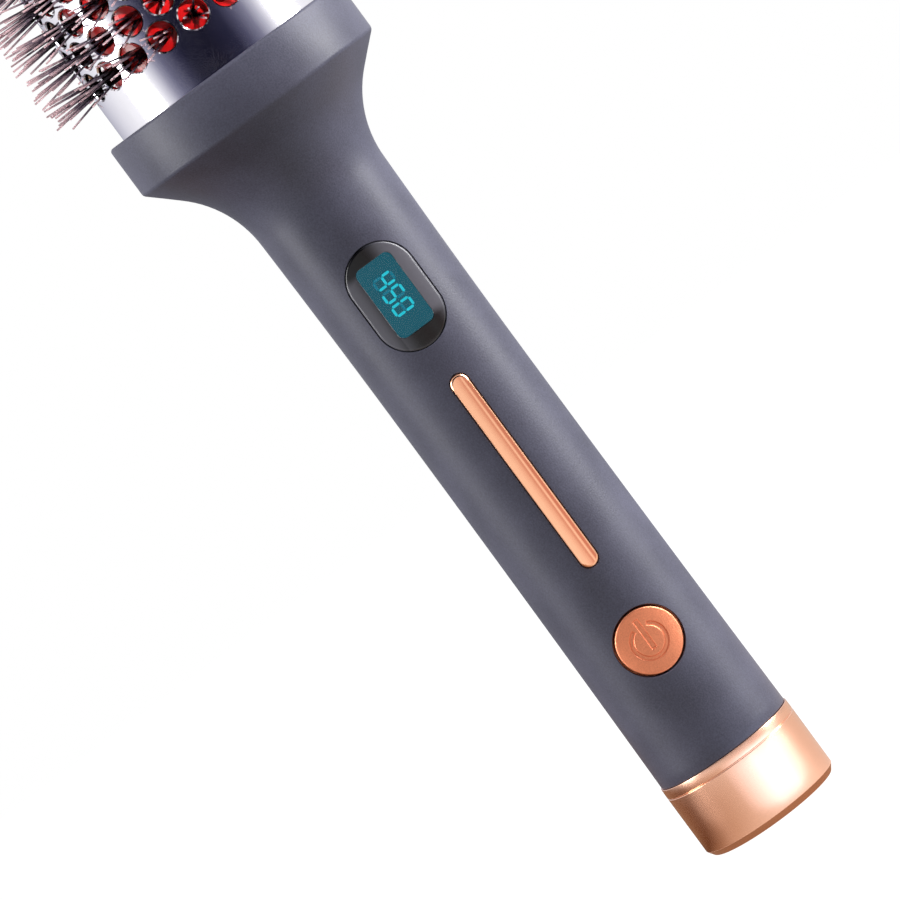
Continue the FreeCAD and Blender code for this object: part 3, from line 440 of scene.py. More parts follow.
def segment_outlines(tall, wide, thick):
    """The seven bars of a lit figure, as corners (across, up) about its middle."""
    gap, t = 0.09, thick / 2
    w, h = wide / 2 - t, tall / 2 - t
    level = lambda y: [(-w + gap, y), (-w + gap + t, y + t), (w - gap - t, y + t), (w - gap, y),
                       (w - gap - t, y - t), (-w + gap + t, y - t)]
    upright = lambda x, y0, y1: [(x, y0 + gap), (x - t, y0 + gap + t), (x - t, y1 - gap - t), (x, y1 - gap),
                                 (x + t, y1 - gap - t), (x + t, y0 + gap + t)]
    return {"a": level(h), "g": level(0), "d": level(-h), "b": upright(w, 0, h), "c": upright(w, -h, 0),
            "f": upright(-w, 0, h), "e": upright(-w, -h, 0)}


def figures(name, lit):
    """Thin bars on the panel for the figures 450, read with the barrel to their left."""
    bm = bmesh.new()
    for place_no, figure in enumerate("450"):
        middle = WINDOW_HEIGHT + 0.35 + FIGURE_PITCH * (1 - place_no)
        for key, outline in segment_outlines(FIGURE_TALL, FIGURE_WIDTH, BAR_WIDTH).items():
            if (key in SEGMENTS[figure]) != lit:
                continue
            sides = [[bm.verts.new(Vector((up - 0.05, -PANEL_FRONT - front, middle - across)) * MM)
                      for across, up in outline] for front in (0.02, 0.0)]
            join_loops(bm, sides, capped=True)
    return made_of(name, bm, 20)


def lay_painted_shade(material, amount, colour):
    """Lays a painted shade colour over the finish's own where the amount is 1."""
    socket = shader_of(material).inputs["Base Color"]
    own = socket.links[0].from_socket
    feed(material.node_tree, socket, blend_colours(material.node_tree, amount, own, colour))
    return material


def bezel_gloss_painted_shade():
    """Glossy grey moulding, with painted shade nearly black above and below the window and a painted shadow
    along its left side.
    """
    material = surface("bezel_gloss", linear(106, 105, 114), 0.24, spot=0.0006, mottle=0.05, depth=0.0000015,
                       matting=0.03)
    tree = material.node_tree
    x, _, z = split(tree, place(tree))
    off = reckon(tree, "ABSOLUTE", plus(tree, z, -WINDOW_HEIGHT * MM))
    # Painted shade: above and below the window the bezel darkens nearly to black, most near the middle of
    # each end.
    near = between(tree, off, 0.0, 1.0, 0.0060, 0.0082)
    faded = between(tree, off, 1.0, 0.0, 0.0112, 0.0148)
    centre = between(tree, z, 0.0016, -0.0030, 0.128, 0.136)
    aside = reckon(tree, "ABSOLUTE", reckon(tree, "SUBTRACT", x, centre))
    ends = times(tree, near, faded, between(tree, aside, 1.0, 0.0, 0.0026, 0.0074))
    # Painted shadow: a soft dark band along the window's left side.
    edge = times(tree, between(tree, x, 0.0, 0.55, -0.0062, -0.0044),
                 between(tree, x, 1.0, 0.0, -0.0043, -0.0035))
    amount = between(tree, reckon(tree, "MAXIMUM", ends, edge), 0.0, 1.0)
    amount.node.interpolation_type = "SMOOTHSTEP"
    return lay_painted_shade(material, amount, linear(9, 9, 11))


def lit_finish(name, colour, glow, strength):
    """A finish that is lit from behind and glows a little."""
    return surface(name, colour, 0.4, spot=0.0006, mottle=0.05, depth=0.0, Specular_IOR_Level=0.1,
                   Emission_Color=glow, Emission_Strength=strength)


fitted(trued(bezel_body(), waist), bezel_gloss_painted_shade(), "bezel_plastic", "brush", "display_bezel")

clear = surface("window_clear", linear(240, 248, 250), 0.04, spot=0.004, mottle=0.01, depth=0.0000002,
                matting=0.01, Transmission_Weight=1.0, IOR=1.12)
window_plate = plate_in_window("display_window", 0.04, lambda x, z: -on_handle(x, z, -0.08).y / MM,
                               lambda x, z: PANEL_FRONT + 0.03)
fitted(window_plate, clear, "lens_clear", "brush", "display_lens")

panel = plate_in_window("display_lcd", 0.03, lambda x, z: PANEL_FRONT, lambda x, z: PANEL_BACK)
panel_teal = lit_finish("panel_teal", linear(8, 18, 21), linear(28, 87, 102), 0.97)
fitted(panel, panel_teal, "display_glass", "brush", "display_panel")
figure_lit = lit_finish("figure_lit", linear(8, 30, 34), linear(38, 206, 224), 0.9)
fitted(figures("figures_lit", True), figure_lit, "display_glass", "brush")
figure_faint = lit_finish("figure_faint", linear(8, 22, 26), linear(24, 119, 141), 0.94)
fitted(figures("figures_unlit", False), figure_faint, "display_glass", "brush")


# ---------------------------------------------------------------- trim strip
# A slim half-round strip of rose gold plated metal, pressed into a groove
# between the display and the button.

STRIP_CROWN, STRIP_BACK = 0.36, 14.2


def strip_body():
    """A bar with round ends in plan, crowned across its width, with a narrow bevel all round."""
    bm = bmesh.new()
    loops = []
    bevel = [(0.0, -0.4), (0.0, 0.0), (0.06, 0.07), (0.18, 0.13)]
    for inset, proud in bevel + [(inset, 0.15) for inset in (0.34, 0.6, 0.9, 1.2, 1.5, 1.75, 1.95)]:
        outline = along_slot(STRIP_WIDTH - 2 * inset, STRIP_LENGTH - 2 * inset, STRIP_WIDTH / 2 - inset, 160)
        crown = STRIP_CROWN * min(1.0, inset / 0.30)
        raised = [(x, z, proud + crown * (1 - (x / STRIP_WIDTH * 2) ** 2)) for x, z in outline]
        loops.append([bm.verts.new(on_handle(x, z + STRIP_HEIGHT, lift)) for x, z, lift in raised])
    join_loops(bm, [pressed_flat(bm, loops[0], STRIP_BACK)] + loops, capped=True)
    return made_of("trim_strip_plated", bm, 60)


rose_polished = surface("rose_gold_polished", linear(255, 188, 150), 0.1, spot=0.0012, mottle=0.03,
                        depth=0.0000005, matting=0.02, Metallic=1.0)
fitted(strip_body(), rose_polished, "rose_metal", "brush", "trim_strip")


# ---------------------------------------------------------------- power button
# A round rose gold button, bead-blasted, curved like the handle, with the power
# sign sunk into its face and a wide flange behind the shell that keeps it in.

SIGN_DEPTH, SIGN_EDGE, SIGN_RADIUS, SIGN_LINE = 0.3, 0.24, 3.6, 0.42
SIGN_OPENING, SIGN_DEGREE = 26, 0.063
SIGN_BAR, SIGN_BAR_TOP, SIGN_BAR_FOOT = 0.55, 5.1, -1.8
FACE_RADIUS, FLANGE_RADIUS, FLANGE_FRONT, FLANGE_BACK = 15.3, 8.2, 9.56, 8.76
BUTTON_FLATS = 256


def ease(outside):
    """From 1 well inside an outline to 0 outside it, over the width of the sign's edge."""
    share = max(0.0, min(1.0, 0.5 - outside / SIGN_EDGE))
    return share * share * (3 - 2 * share)


def sunk(x, z):
    """How far the face is sunk at a point: the open ring and the bar of the power sign."""
    radius = math.hypot(x, z)
    opening = math.degrees(abs(math.atan2(x, z)))
    ring = ease(abs(radius - SIGN_RADIUS) - SIGN_LINE) * ease((SIGN_OPENING - opening) * SIGN_DEGREE)
    bar = ease(max(abs(x) - SIGN_BAR, z - SIGN_BAR_TOP, SIGN_BAR_FOOT - z))
    return SIGN_DEPTH * max(ring, bar)


def button_body():
    """The button: its face from the middle outwards, the eased rim, the side, the flange and the back."""
    bm = bmesh.new()

    def ring(radius, forward):
        """Points round the button's axis, each as far forward as forward(across, up) says."""
        turns = [math.tau * i / BUTTON_FLATS for i in range(BUTTON_FLATS if radius else 1)]
        spots = [(radius * math.sin(turn), radius * math.cos(turn)) for turn in turns]
        return [bm.verts.new(Vector((x, -forward(x, z), BUTTON_HEIGHT + z)) * MM) for x, z in spots]

    def face(x):
        return math.sqrt(FACE_RADIUS ** 2 - x * x)

    loops = [ring(0.08 * i, lambda x, z: face(x) - sunk(x, z)) for i in range(85)]
    loops += [ring(radius, lambda x, z: face(x) - drop)
              for radius, drop in ((6.84, 0.03), (6.93, 0.10), (6.985, 0.21), (BUTTON_RADIUS, 0.36))]
    loops += [ring(radius, lambda x, z: forward)
              for radius, forward in ((BUTTON_RADIUS, FLANGE_FRONT), (FLANGE_RADIUS, FLANGE_FRONT),
                                      (FLANGE_RADIUS, FLANGE_BACK), (0, FLANGE_BACK))]
    join_loops(bm, loops)
    return made_of("button_blasted", bm, 40)


rose_blasted = surface("rose_gold_blasted", linear(250, 150, 112), 0.38, spot=0.00026, mottle=0.22,
                       depth=0.00006, matting=0.08, Metallic=0.9)
fitted(button_body(), rose_blasted, "rose_metal", "button", "power_button")


# ---------------------------------------------------------------- butt cap
# The drawn metal cup that closes the handle and that the brush stands on: rose
# gold, satin, with a bevelled band at its mouth and the charging slot in its floor.

CAP_RADIUS, CAP_TOP = 15.85, 17.4
CAP_BORE, CAP_FLOOR = 14.4, 2.0
SLOT_WIDTH, SLOT_THICK = 9.4, 3.6


def cap_profile():
    """The cup in section: chamfered foot, upright wall, fine groove, bevelled band, inside."""
    return eased([(0.0, 0.0), (CAP_RADIUS - 1.0, 0.0, 0.4), (CAP_RADIUS, 1.5, 0.35),
                  (CAP_RADIUS, 14.86, 0.08), (CAP_RADIUS - 0.14, 14.98), (CAP_RADIUS - 0.14, 15.1),
                  (CAP_RADIUS, 15.25, 0.06), (CAP_RADIUS - 0.05, CAP_TOP, 0.12), (CAP_BORE, CAP_TOP),
                  (CAP_BORE, CAP_FLOOR), (0.0, CAP_FLOOR)])


rose_satin = surface("rose_gold_satin", linear(250, 197, 170), 0.22, spot=0.0003, mottle=0.03,
                     depth=0.0000004, matting=0.03, Metallic=1.0)
cap = turned("butt_cup", cap_profile(), 180, crease=28)
slot_tool = bmesh.new()
mouth = along_slot(SLOT_WIDTH, SLOT_THICK, SLOT_THICK / 2, 48)
sides = [[slot_tool.verts.new((x * MM, z * MM, level * MM)) for x, z in mouth] for level in (-1.0, 3.0)]
join_loops(slot_tool, sides, capped=True)
cut_away(cap, made_of("cut_slot", slot_tool))
fitted(cap, rose_satin, "rose_metal", "brush", "butt_cap")


# ---------------------------------------------------------------- barrel
# The hot barrel: a thin tube of polished steel, pierced by staggered rows of round
# holes with pressed rims. One hole's square is drawn flat, repeated and wrapped round.

BARREL_RADIUS, BARREL_WALL = 25.35, 1.0
BARREL_FOOT, FOOT_RING, BARREL_HEAD = 184.25, 186.0, 271.5
# Radii in millimetres: painted shade darkens the steel within the first and fades out by the second.
SHADE_DARK_WITHIN, BRIGHT_BEYOND = 24.45, 24.9
HOLES, ROWS, FIRST_ROW, ROW_PITCH = 20, 10, 201.8, 6.53
HOLE_RADIUS, HOLE_RIM, HOLE_SIDES = 3.15, 0.28, 24
FIRST_HOLE = math.radians(1.5)


def hole_square():
    """One hole with the square of sheet round it, laid flat: width, thickness outward, height."""
    bm = bmesh.new()
    wide, tall = math.tau * BARREL_RADIUS / HOLES, ROW_PITCH
    steps = HOLE_SIDES // 4
    square = []
    for side in range(4):
        for k in range(steps):
            t = -1 + 2 * k / steps
            square.append([(t, -1), (1, t), (-t, 1), (-1, -t)][side])
    circle = [(math.cos(math.atan2(v, u)), math.sin(math.atan2(v, u))) for u, v in square]
    outer = [bm.verts.new((u * wide / 2 * MM, -BARREL_RADIUS * MM, v * tall / 2 * MM)) for u, v in square]
    loops = [outer]
    for radius, level in ((HOLE_RADIUS + HOLE_RIM, 0.0), (HOLE_RADIUS, 0.24), (HOLE_RADIUS, BARREL_WALL)):
        loops.append([bm.verts.new((u * radius * MM, -(BARREL_RADIUS - level) * MM, v * radius * MM))
                      for u, v in circle])
    loops.append([bm.verts.new((u * wide / 2 * MM, -(BARREL_RADIUS - BARREL_WALL) * MM, v * tall / 2 * MM))
                  for u, v in square])
    join_loops(bm, loops)
    return made_of("pierced_tube", bm)


def node_tree(name, **inputs):
    """A new geometry tree, its inputs named by kind; gives it, its input sockets and their identifiers."""
    tree = bpy.data.node_groups.new(name, "GeometryNodeTree")
    sockets = tree.interface.new_socket
    sockets(name="Shape", in_out="INPUT", socket_type="NodeSocketGeometry")
    keys = {}
    for kind, labels in inputs.items():
        for label in labels:
            keys[label] = sockets(name=label, in_out="INPUT", socket_type="NodeSocket" + kind).identifier
    sockets(name="Shape", in_out="OUTPUT", socket_type="NodeSocketGeometry")
    given = tree.nodes.new("NodeGroupInput")
    return tree, {socket.name: socket for socket in given.outputs}, keys


def point_at(tree, x, y, z):
    return step_in(tree, "ShaderNodeCombineXYZ", X=x, Y=y, Z=z).outputs[0]


def counted(tree, group):
    """Each point's group and its place in it, counted from 0."""
    index = tree.nodes.new("GeometryNodeInputIndex").outputs[0]
    whole = reckon(tree, "FLOOR", reckon(tree, "DIVIDE", plus(tree, index, 0.5), group))
    return whole, reckon(tree, "SUBTRACT", index, times(tree, whole, group))


def finished(tree, shape, given):
    """Ends a tree: whole geometry with its finish."""
    whole = step_in(tree, "GeometryNodeRealizeInstances", Geometry=shape.outputs[0])
    coloured = step_in(tree, "GeometryNodeSetMaterial", Geometry=whole.outputs[0], Material=given["Finish"])
    tree.links.new(coloured.outputs[0], tree.nodes.new("NodeGroupOutput").inputs[0])
    return tree


def wrapped_holes_tree():
    """Repeats the flat square in staggered rows and wraps the sheet round the axis."""
    tree, given, keys = node_tree("staggered_holes", Int=("Rows", "Holes in a row"), Float=(
        "Square width", "Row pitch", "First row", "First hole", "Tube radius"), Material=("Finish",))
    holes = given["Holes in a row"]
    row, column = counted(tree, holes)
    odd = times(tree, reckon(tree, "MODULO", row, 2.0), 0.5)
    across = times(tree, plus(tree, column, odd), given["Square width"])
    up = plus(tree, given["First row"], times(tree, row, given["Row pitch"]))
    points = step_in(tree, "GeometryNodePoints", Count=times(tree, given["Rows"], holes),
                     Position=point_at(tree, across, 0.0, up))
    copies = step_in(tree, "GeometryNodeInstanceOnPoints", Points=points.outputs[0], Instance=given["Shape"])
    real = step_in(tree, "GeometryNodeRealizeInstances", Geometry=copies.outputs[0])
    along, behind, height = split(tree, tree.nodes.new("GeometryNodeInputPosition").outputs[0])
    turn = plus(tree, reckon(tree, "DIVIDE", along, given["Tube radius"]), given["First hole"])
    x = times(tree, behind, -1.0, reckon(tree, "SINE", turn))
    y = times(tree, behind, reckon(tree, "COSINE", turn))
    bent = step_in(tree, "GeometryNodeSetPosition", Geometry=real.outputs[0],
                   Position=point_at(tree, x, y, height))
    welded = step_in(tree, "GeometryNodeMergeByDistance", Geometry=bent.outputs[0], Distance=0.00002)
    return finished(tree, welded, given), keys


def grown(piece, tree, keys, values):
    """Runs a geometry tree on the piece and keeps the result as its plain mesh."""
    modifier = piece.modifiers.new("pattern", "NODES")
    modifier.node_group = tree
    for label, value in values.items():
        modifier[keys[label]] = value
    return settled(piece)


def from_axis(tree):
    """How far a point is from the brush's axis, in metres."""
    x, y, _ = split(tree, place(tree))
    return reckon(tree, "SQRT", plus(tree, times(tree, x, x), times(tree, y, y)))


# Bright polished steel outside; inside, below the skin, painted shade darkens the hole walls and the bore
# nearly to black.
steel_polished = surface("barrel_steel", linear(242, 240, 247), 0.09, spot=0.004, mottle=0.02, depth=0.0,
                         matting=0.02, Metallic=1.0)
steel_tree = steel_polished.node_tree
painted_shade_inside = between(steel_tree, from_axis(steel_tree), 1.0, 0.0, SHADE_DARK_WITHIN * MM, BRIGHT_BEYOND * MM)
lay_painted_shade(steel_polished, painted_shade_inside, linear(22, 20, 24))
pattern = grown(hole_square(), *wrapped_holes_tree(), {
    "Rows": ROWS, "Holes in a row": HOLES, "Square width": math.tau * BARREL_RADIUS / HOLES * MM,
    "Row pitch": ROW_PITCH * MM, "First row": FIRST_ROW * MM, "First hole": FIRST_HOLE,
    "Tube radius": BARREL_RADIUS * MM, "Finish": steel_polished})
tube = bmesh.new()
tube.from_mesh(pattern.data)
bpy.data.objects.remove(pattern)
flats = HOLES * HOLE_SIDES // 4
around = [FIRST_HOLE + math.tau * i / flats for i in range(flats)]
below, above = FIRST_ROW - ROW_PITCH / 2, FIRST_ROW + (ROWS - 0.5) * ROW_PITCH
bore = BARREL_RADIUS - BARREL_WALL
for profile in ([(BARREL_RADIUS, below), (BARREL_RADIUS, FOOT_RING), (BARREL_RADIUS, BARREL_FOOT),
                 (bore, BARREL_FOOT), (bore, below)],
                [(BARREL_RADIUS, above), (BARREL_RADIUS, BARREL_HEAD - 0.4),
                 (BARREL_RADIUS - 0.3, BARREL_HEAD), (bore, BARREL_HEAD), (bore, above)]):
    join_loops(tube, [[tube.verts.new(round_axis(radius, turn, height)) for turn in around]
                      for radius, height in profile])
bmesh.ops.remove_doubles(tube, verts=tube.verts, dist=0.00002)
barrel = trued(made_of("barrel_pierced", tube, crease=24), lambda height: BARREL_RADIUS)
fitted(barrel, steel_polished, "barrel_metal", "brush", "barrel")


# ---------------------------------------------------------------- tuft core
# The tube that the bristles are anchored in and the heater fills, lacquered
# glossy red; it shows through the holes of the barrel.

CORE_RADIUS, CORE_BORE, CORE_FOOT, CORE_HEAD = 19.95, 18.6, 184.3, 266.5
red_lacquer = surface("red_lacquer", linear(255, 30, 32), 0.3, spot=0.002, mottle=0.08, depth=0.000002,
                      matting=0.04, Coat_Weight=0.4)
core = turned("core_lacquered", [(CORE_RADIUS, CORE_FOOT), (CORE_RADIUS, CORE_HEAD), (CORE_BORE, CORE_HEAD),
                                 (CORE_BORE, CORE_FOOT)], 160, ring=True)
fitted(core, red_lacquer, "core_lacquer", "brush", "tuft_core")


# ---------------------------------------------------------------- bristles
# Tufts of stiff nylon filaments, anchored in the core and fanning out through
# the holes; dark at the root, paler and clearer toward their cut ends.

FILAMENTS, FILAMENT_WIDTH, FILAMENT_SIDES = 6, 0.47, 5
ROOT_RADIUS, TIP_RADIUS, ROOT_SPREAD, FAN = 19.7, 35.7, 0.9, 4.3
GOLDEN_TURN, UNEVEN_CUT = 2.39996, 2.2
DARK_WITHIN, PALE_BEYOND = 26.2, 34.0


def filament_rod():
    """One filament a unit long: five-sided, tapered, cut square."""
    bm = bmesh.new()
    loops = []
    for level, radius in ((0.0, 1.4), (0.30, 1.2), (0.42, 0.54), (1.0, 0.45)):
        reach = radius * FILAMENT_WIDTH * MM
        turns = [math.tau * i / FILAMENT_SIDES for i in range(FILAMENT_SIDES)]
        loops.append([bm.verts.new((reach * math.cos(turn), reach * math.sin(turn), level))
                      for turn in turns])
    join_loops(bm, loops, capped=True)
    return made_of("filament", bm, 50)


def scatter(tree, low, high, seed, salt):
    """A random number for each filament, always the same for the same seed."""
    node = tree.nodes.new("FunctionNodeRandomValue")
    node.data_type = "FLOAT"
    node.inputs[2].default_value = low
    node.inputs[3].default_value = high
    feed(tree, node.inputs["Seed"], plus(tree, seed, float(salt)))
    return node.outputs[1]


def tuft_row_tree():
    """A ring of tufts: each filament runs from a small root circle to a wide fan at its tip."""
    tree, given, keys = node_tree("tuft_row", Int=("Tufts", "Filaments", "Seed"), Float=(
        "Height", "First tuft", "Root radius", "Tip radius", "Root spread", "Fan"), Material=("Finish",))
    count, seed = given["Filaments"], given["Seed"]
    tuft, member = counted(tree, count)
    apart = reckon(tree, "DIVIDE", math.tau, given["Tufts"])
    bearing = plus(tree, given["First tuft"], times(tree, tuft, apart))
    lean = plus(tree, times(tree, member, GOLDEN_TURN), times(tree, tuft, 1.7),
                scatter(tree, -0.5, 0.5, seed, 1))
    out = reckon(tree, "SQRT", reckon(tree, "DIVIDE", plus(tree, member, 0.5), count))
    fan = times(tree, out, given["Fan"], scatter(tree, 0.6, 1.05, seed, 2))

    def spot(reach, spread):
        """A point at a reach from the axis, as far aside from the tuft's middle as the spread says."""
        aside, up = [times(tree, spread, reckon(tree, part, lean)) for part in ("COSINE", "SINE")]
        cosine, sine = [reckon(tree, part, bearing) for part in ("COSINE", "SINE")]
        x = plus(tree, times(tree, reach, sine), times(tree, aside, cosine))
        y = reckon(tree, "SUBTRACT", times(tree, aside, sine), times(tree, reach, cosine))
        return point_at(tree, x, y, plus(tree, given["Height"], up))

    tip_reach = reckon(tree, "SUBTRACT", given["Tip radius"], scatter(tree, 0.0, UNEVEN_CUT * MM, seed, 3))
    start, end = spot(given["Root radius"], times(tree, out, given["Root spread"])), spot(tip_reach, fan)
    away, length = [tree.nodes.new("ShaderNodeVectorMath") for _ in range(2)]
    away.operation, length.operation = "SUBTRACT", "LENGTH"
    feed(tree, away.inputs[0], end)
    feed(tree, away.inputs[1], start)
    feed(tree, length.inputs[0], away.outputs[0])
    aim = step_in(tree, "FunctionNodeAlignRotationToVector", Vector=away.outputs[0])
    aim.axis = "Z"
    points = step_in(tree, "GeometryNodePoints", Count=times(tree, given["Tufts"], count), Position=start)
    copies = step_in(tree, "GeometryNodeInstanceOnPoints", Points=points.outputs[0], Instance=given["Shape"],
                     Rotation=aim.outputs[0], Scale=point_at(tree, 1.0, 1.0, length.outputs["Value"]))
    return finished(tree, copies, given), keys


def bristle_nylon():
    """Near-black at the root, passing through mauve to a pale clear tip."""
    material = surface("bristle_nylon", linear(60, 46, 56), 0.28, spot=0.0006, mottle=0.1, depth=0.000002,
                       Transmission_Weight=0.45, IOR=1.3)
    tree = material.node_tree
    outward = between(tree, from_axis(tree), 0.0, 1.0, DARK_WITHIN * MM, PALE_BEYOND * MM)
    ramp = tree.nodes.new("ShaderNodeValToRGB")
    root, tip = ramp.color_ramp.elements
    root.color, tip.color = linear(9, 8, 12), linear(255, 224, 228)
    ramp.color_ramp.elements.new(0.4).color = linear(110, 94, 112)
    feed(tree, ramp.inputs[0], plus(tree, outward, between(tree, grain(tree, 0.0015), -0.18, 0.18, 0.3, 0.7)))
    feed(tree, shader_of(material).inputs["Base Color"], ramp.outputs[0])
    return material


nylon = bristle_nylon()
row_tree, row_keys = tuft_row_tree()
rod = filament_rod()
for row in range(ROWS):
    name = "bristles_%02d" % (row + 1)
    tufts = placed(name, rod.data)
    grown(tufts, row_tree, row_keys, {
        "Tufts": HOLES, "Filaments": FILAMENTS, "Height": (FIRST_ROW + ROW_PITCH * row) * MM,
        "First tuft": FIRST_HOLE + math.tau / HOLES / 2 * (row % 2), "Root radius": ROOT_RADIUS * MM,
        "Tip radius": TIP_RADIUS * MM, "Root spread": ROOT_SPREAD * MM, "Fan": FAN * MM, "Seed": 11 + row,
        "Finish": nylon})
    tufts.data.name = name
    fitted(tufts, nylon, "bristle_nylon", "brush", "tuft_row_%02d" % (row + 1))
bpy.data.objects.remove(rod)


# ---------------------------------------------------------------- cool tip
# The gloss black end cap that stays cool to hold, plugged into the barrel's
# open end.

TIP_TOP = 286.5
PLUG_RADIUS, PLUG_END, TIP_SEAM = 24.2, 266.6, BARREL_HEAD + 0.12
tip_black = surface("tip_gloss_black", linear(34, 33, 38), 0.2, spot=0.003, mottle=0.08, depth=0.000001,
                    matting=0.03, Coat_Weight=0.4)
tip = turned("tip_cap", eased([(0.0, TIP_TOP), (18.0, TIP_TOP, 6.0), (BARREL_RADIUS, 281.5, 4.5),
                               (BARREL_RADIUS, TIP_SEAM, 0.3), (PLUG_RADIUS, TIP_SEAM),
                               (PLUG_RADIUS, PLUG_END), (0.0, PLUG_END)]), 160)
fitted(tip, tip_black, "tip_plastic", "brush", "cool_tip")


# ---------------------------------------------------------------- inner pieces
# What the shells hide: cells in their cradle, the boards and their parts, leads,
# the heater stack, screws and the flange that ties the barrel to the handle.


def board_green():
    """Green solder mask with paler tracks under it."""
    material = surface("board_green", linear(24, 92, 56), 0.38, spot=0.0008, mottle=0.1)
    tree = material.node_tree
    bricks = step_in(tree, "ShaderNodeTexBrick", Vector=place(tree), Scale=260.0, Color1=linear(20, 84, 50),
                     Color2=linear(28, 100, 60), Mortar=linear(60, 140, 90))
    feed(tree, shader_of(material).inputs["Base Color"], bricks.outputs["Color"])
    return material


inner_finishes = {
    "inner_plastic": surface("inner_black_plastic", linear(52, 52, 54), 0.5, spot=0.0006, mottle=0.1,
                             depth=0.00001),
    "heat_plastic": surface("heat_proof_plastic", linear(40, 39, 42), 0.5, spot=0.0005, mottle=0.12,
                            depth=0.00001),
    "diffuser": surface("milky_diffuser", linear(226, 230, 232), 0.4, spot=0.002, mottle=0.02),
    "circuit_board": board_green(),
    "component_black": surface("moulded_black", linear(34, 34, 36), 0.5, spot=0.0003, mottle=0.15,
                               depth=0.000006),
    "steel": surface("plain_steel", linear(190, 190, 192), 0.3, spot=0.0005, mottle=0.06, Metallic=1.0),
    "nickel": surface("nickel_strip", linear(204, 200, 190), 0.26, spot=0.0008, mottle=0.05, Metallic=1.0),
    "cell_wrap": surface("cell_blue_wrap", linear(40, 98, 158), 0.3, spot=0.003, mottle=0.08),
    "heater_aluminium": surface("extruded_aluminium", linear(196, 198, 200), 0.34, mottle=0.06, Metallic=1.0),
    "ceramic": surface("fired_ceramic", linear(220, 210, 192), 0.55, spot=0.0005, mottle=0.06,
                       depth=0.000008),
    "lead_insulation": surface("lead_silicone", linear(176, 40, 32), 0.45, spot=0.001, mottle=0.06),
}
for subpart in frame["record"]["subparts"]:
    finish = inner_finishes.get(subpart["material_slot"])
    if finish:
        for holder in frame["nodes"][subpart["node"]].material_slots:
            holder.material = finish


# ---------------------------------------------------------------- studio
# Pale floor, dark cards that only mirrors see, soft light from both sides, and
# the camera, tilted so that the brush lies across the picture.


def bare_tree(owner, kind):
    """An empty node tree on a material or a world, and the socket that its surface goes to."""
    owner.use_nodes = True
    owner.node_tree.nodes.clear()
    return owner.node_tree, owner.node_tree.nodes.new("ShaderNodeOutput" + kind).inputs["Surface"]


def background_seen(tree, level):
    """The level for rays that see the background: to the eye, in a mirror and through glass; else 0."""
    rays = tree.nodes.new("ShaderNodeLightPath")
    seen = reckon(tree, "MAXIMUM", rays.outputs["Is Camera Ray"], rays.outputs["Is Glossy Ray"])
    return times(tree, reckon(tree, "MAXIMUM", seen, rays.outputs["Is Transmission Ray"]), level)


def pale_floor(half, level):
    """A square white floor, as pale as the background, that keeps the brush's shadow."""
    bm = bmesh.new()
    for x, y in ((-half, -half), (half, -half), (half, half), (-half, half)):
        bm.verts.new((x, y, 0))
    bm.faces.new(bm.verts)
    floor = made_of("floor", bm)
    material = bpy.data.materials.new("floor_white")
    tree, skin = bare_tree(material, "Material")
    lit = step_in(tree, "ShaderNodeBsdfDiffuse", Color=(0.2, 0.2, 0.2, 1))
    glow = step_in(tree, "ShaderNodeEmission", Strength=background_seen(tree, level))
    both = tree.nodes.new("ShaderNodeAddShader")
    feed(tree, both.inputs[0], lit.outputs[0])
    feed(tree, both.inputs[1], glow.outputs[0])
    feed(tree, skin, both.outputs[0])
    floor.data.materials.append(material)


def surroundings(soft):
    """White to the eye, in mirrors and through glass; soft even light on everything else."""
    world = bpy.data.worlds.new("studio")
    bpy.context.scene.world = world
    tree, sky = bare_tree(world, "World")
    background = step_in(tree, "ShaderNodeBackground", Color=(1, 1, 1, 1),
                         Strength=reckon(tree, "MAXIMUM", background_seen(tree, 1.0), soft))
    feed(tree, sky, background.outputs[0])


def reflector(name, low, high, tint, reach, stops):
    """A dark card round the set, between two rims (radius, height) in millimetres, that only mirrors see.

    The stops give how much white shows through it by bearing: 0 in front of the brush, 90 to its right.
    The tint holds powers for green and blue: over 1 for a warmer card where it is dense, under 1 for a cooler
    one. It ends at the bearing `reach`."""
    card = turned(name, (low, high), 96)
    material = bpy.data.materials.new(name)
    tree, skin = bare_tree(material, "Material")
    x, y, _ = split(tree, place(tree))
    bearing = reckon(tree, "ARCTAN2", x, times(tree, y, -1.0))
    ramp = tree.nodes.new("ShaderNodeValToRGB")
    ends = ramp.color_ramp.elements
    ends.remove(ends[1])
    ends[0].position = 0.0
    for angle, level in stops:
        stop = ends[0] if angle == -180 else ends.new((angle + 180) / 360)
        green, blue = tint if abs(angle) <= reach else (1.0, 1.0)
        stop.color = (level, level ** green, level ** blue, 1)
    feed(tree, ramp.inputs[0], between(tree, bearing, 0.0, 1.0, -math.pi, math.pi))
    feed(tree, skin, step_in(tree, "ShaderNodeBsdfTransparent", Color=ramp.outputs[0]).outputs[0])
    card.data.materials.append(material)
    card.visible_camera = card.visible_diffuse = card.visible_transmission = card.visible_shadow = False


def lamp(name, kind, position, target, **settings):
    """A lamp that the camera doesn't see, at a point and turned to its target."""
    light = bpy.data.lights.new(name, kind)
    for key, value in settings.items():
        setattr(light, key, value)
    holder = placed(name, light)
    away = Vector(position) - Vector(target)
    holder.matrix_world = Matrix.Translation(position) @ away.to_track_quat("Z", "Y").to_matrix().to_4x4()
    holder.visible_camera = False
    return holder


def camera_at(position, target, roll, angle):
    """A camera turned about its own line of sight."""
    data = bpy.data.cameras.new("camera")
    data.angle = angle
    holder = placed("camera", data)
    sight = (Vector(target) - Vector(position)).normalized()
    level = sight.cross(Vector((0, 0, 1))).normalized()
    upright = level.cross(sight)
    up = upright * math.cos(roll) + level * math.sin(roll)
    right = level * math.cos(roll) - upright * math.sin(roll)
    turn = Matrix((right, up, -sight)).transposed().to_4x4()
    holder.matrix_world = Matrix.Translation(position) @ turn
    bpy.context.scene.camera = holder


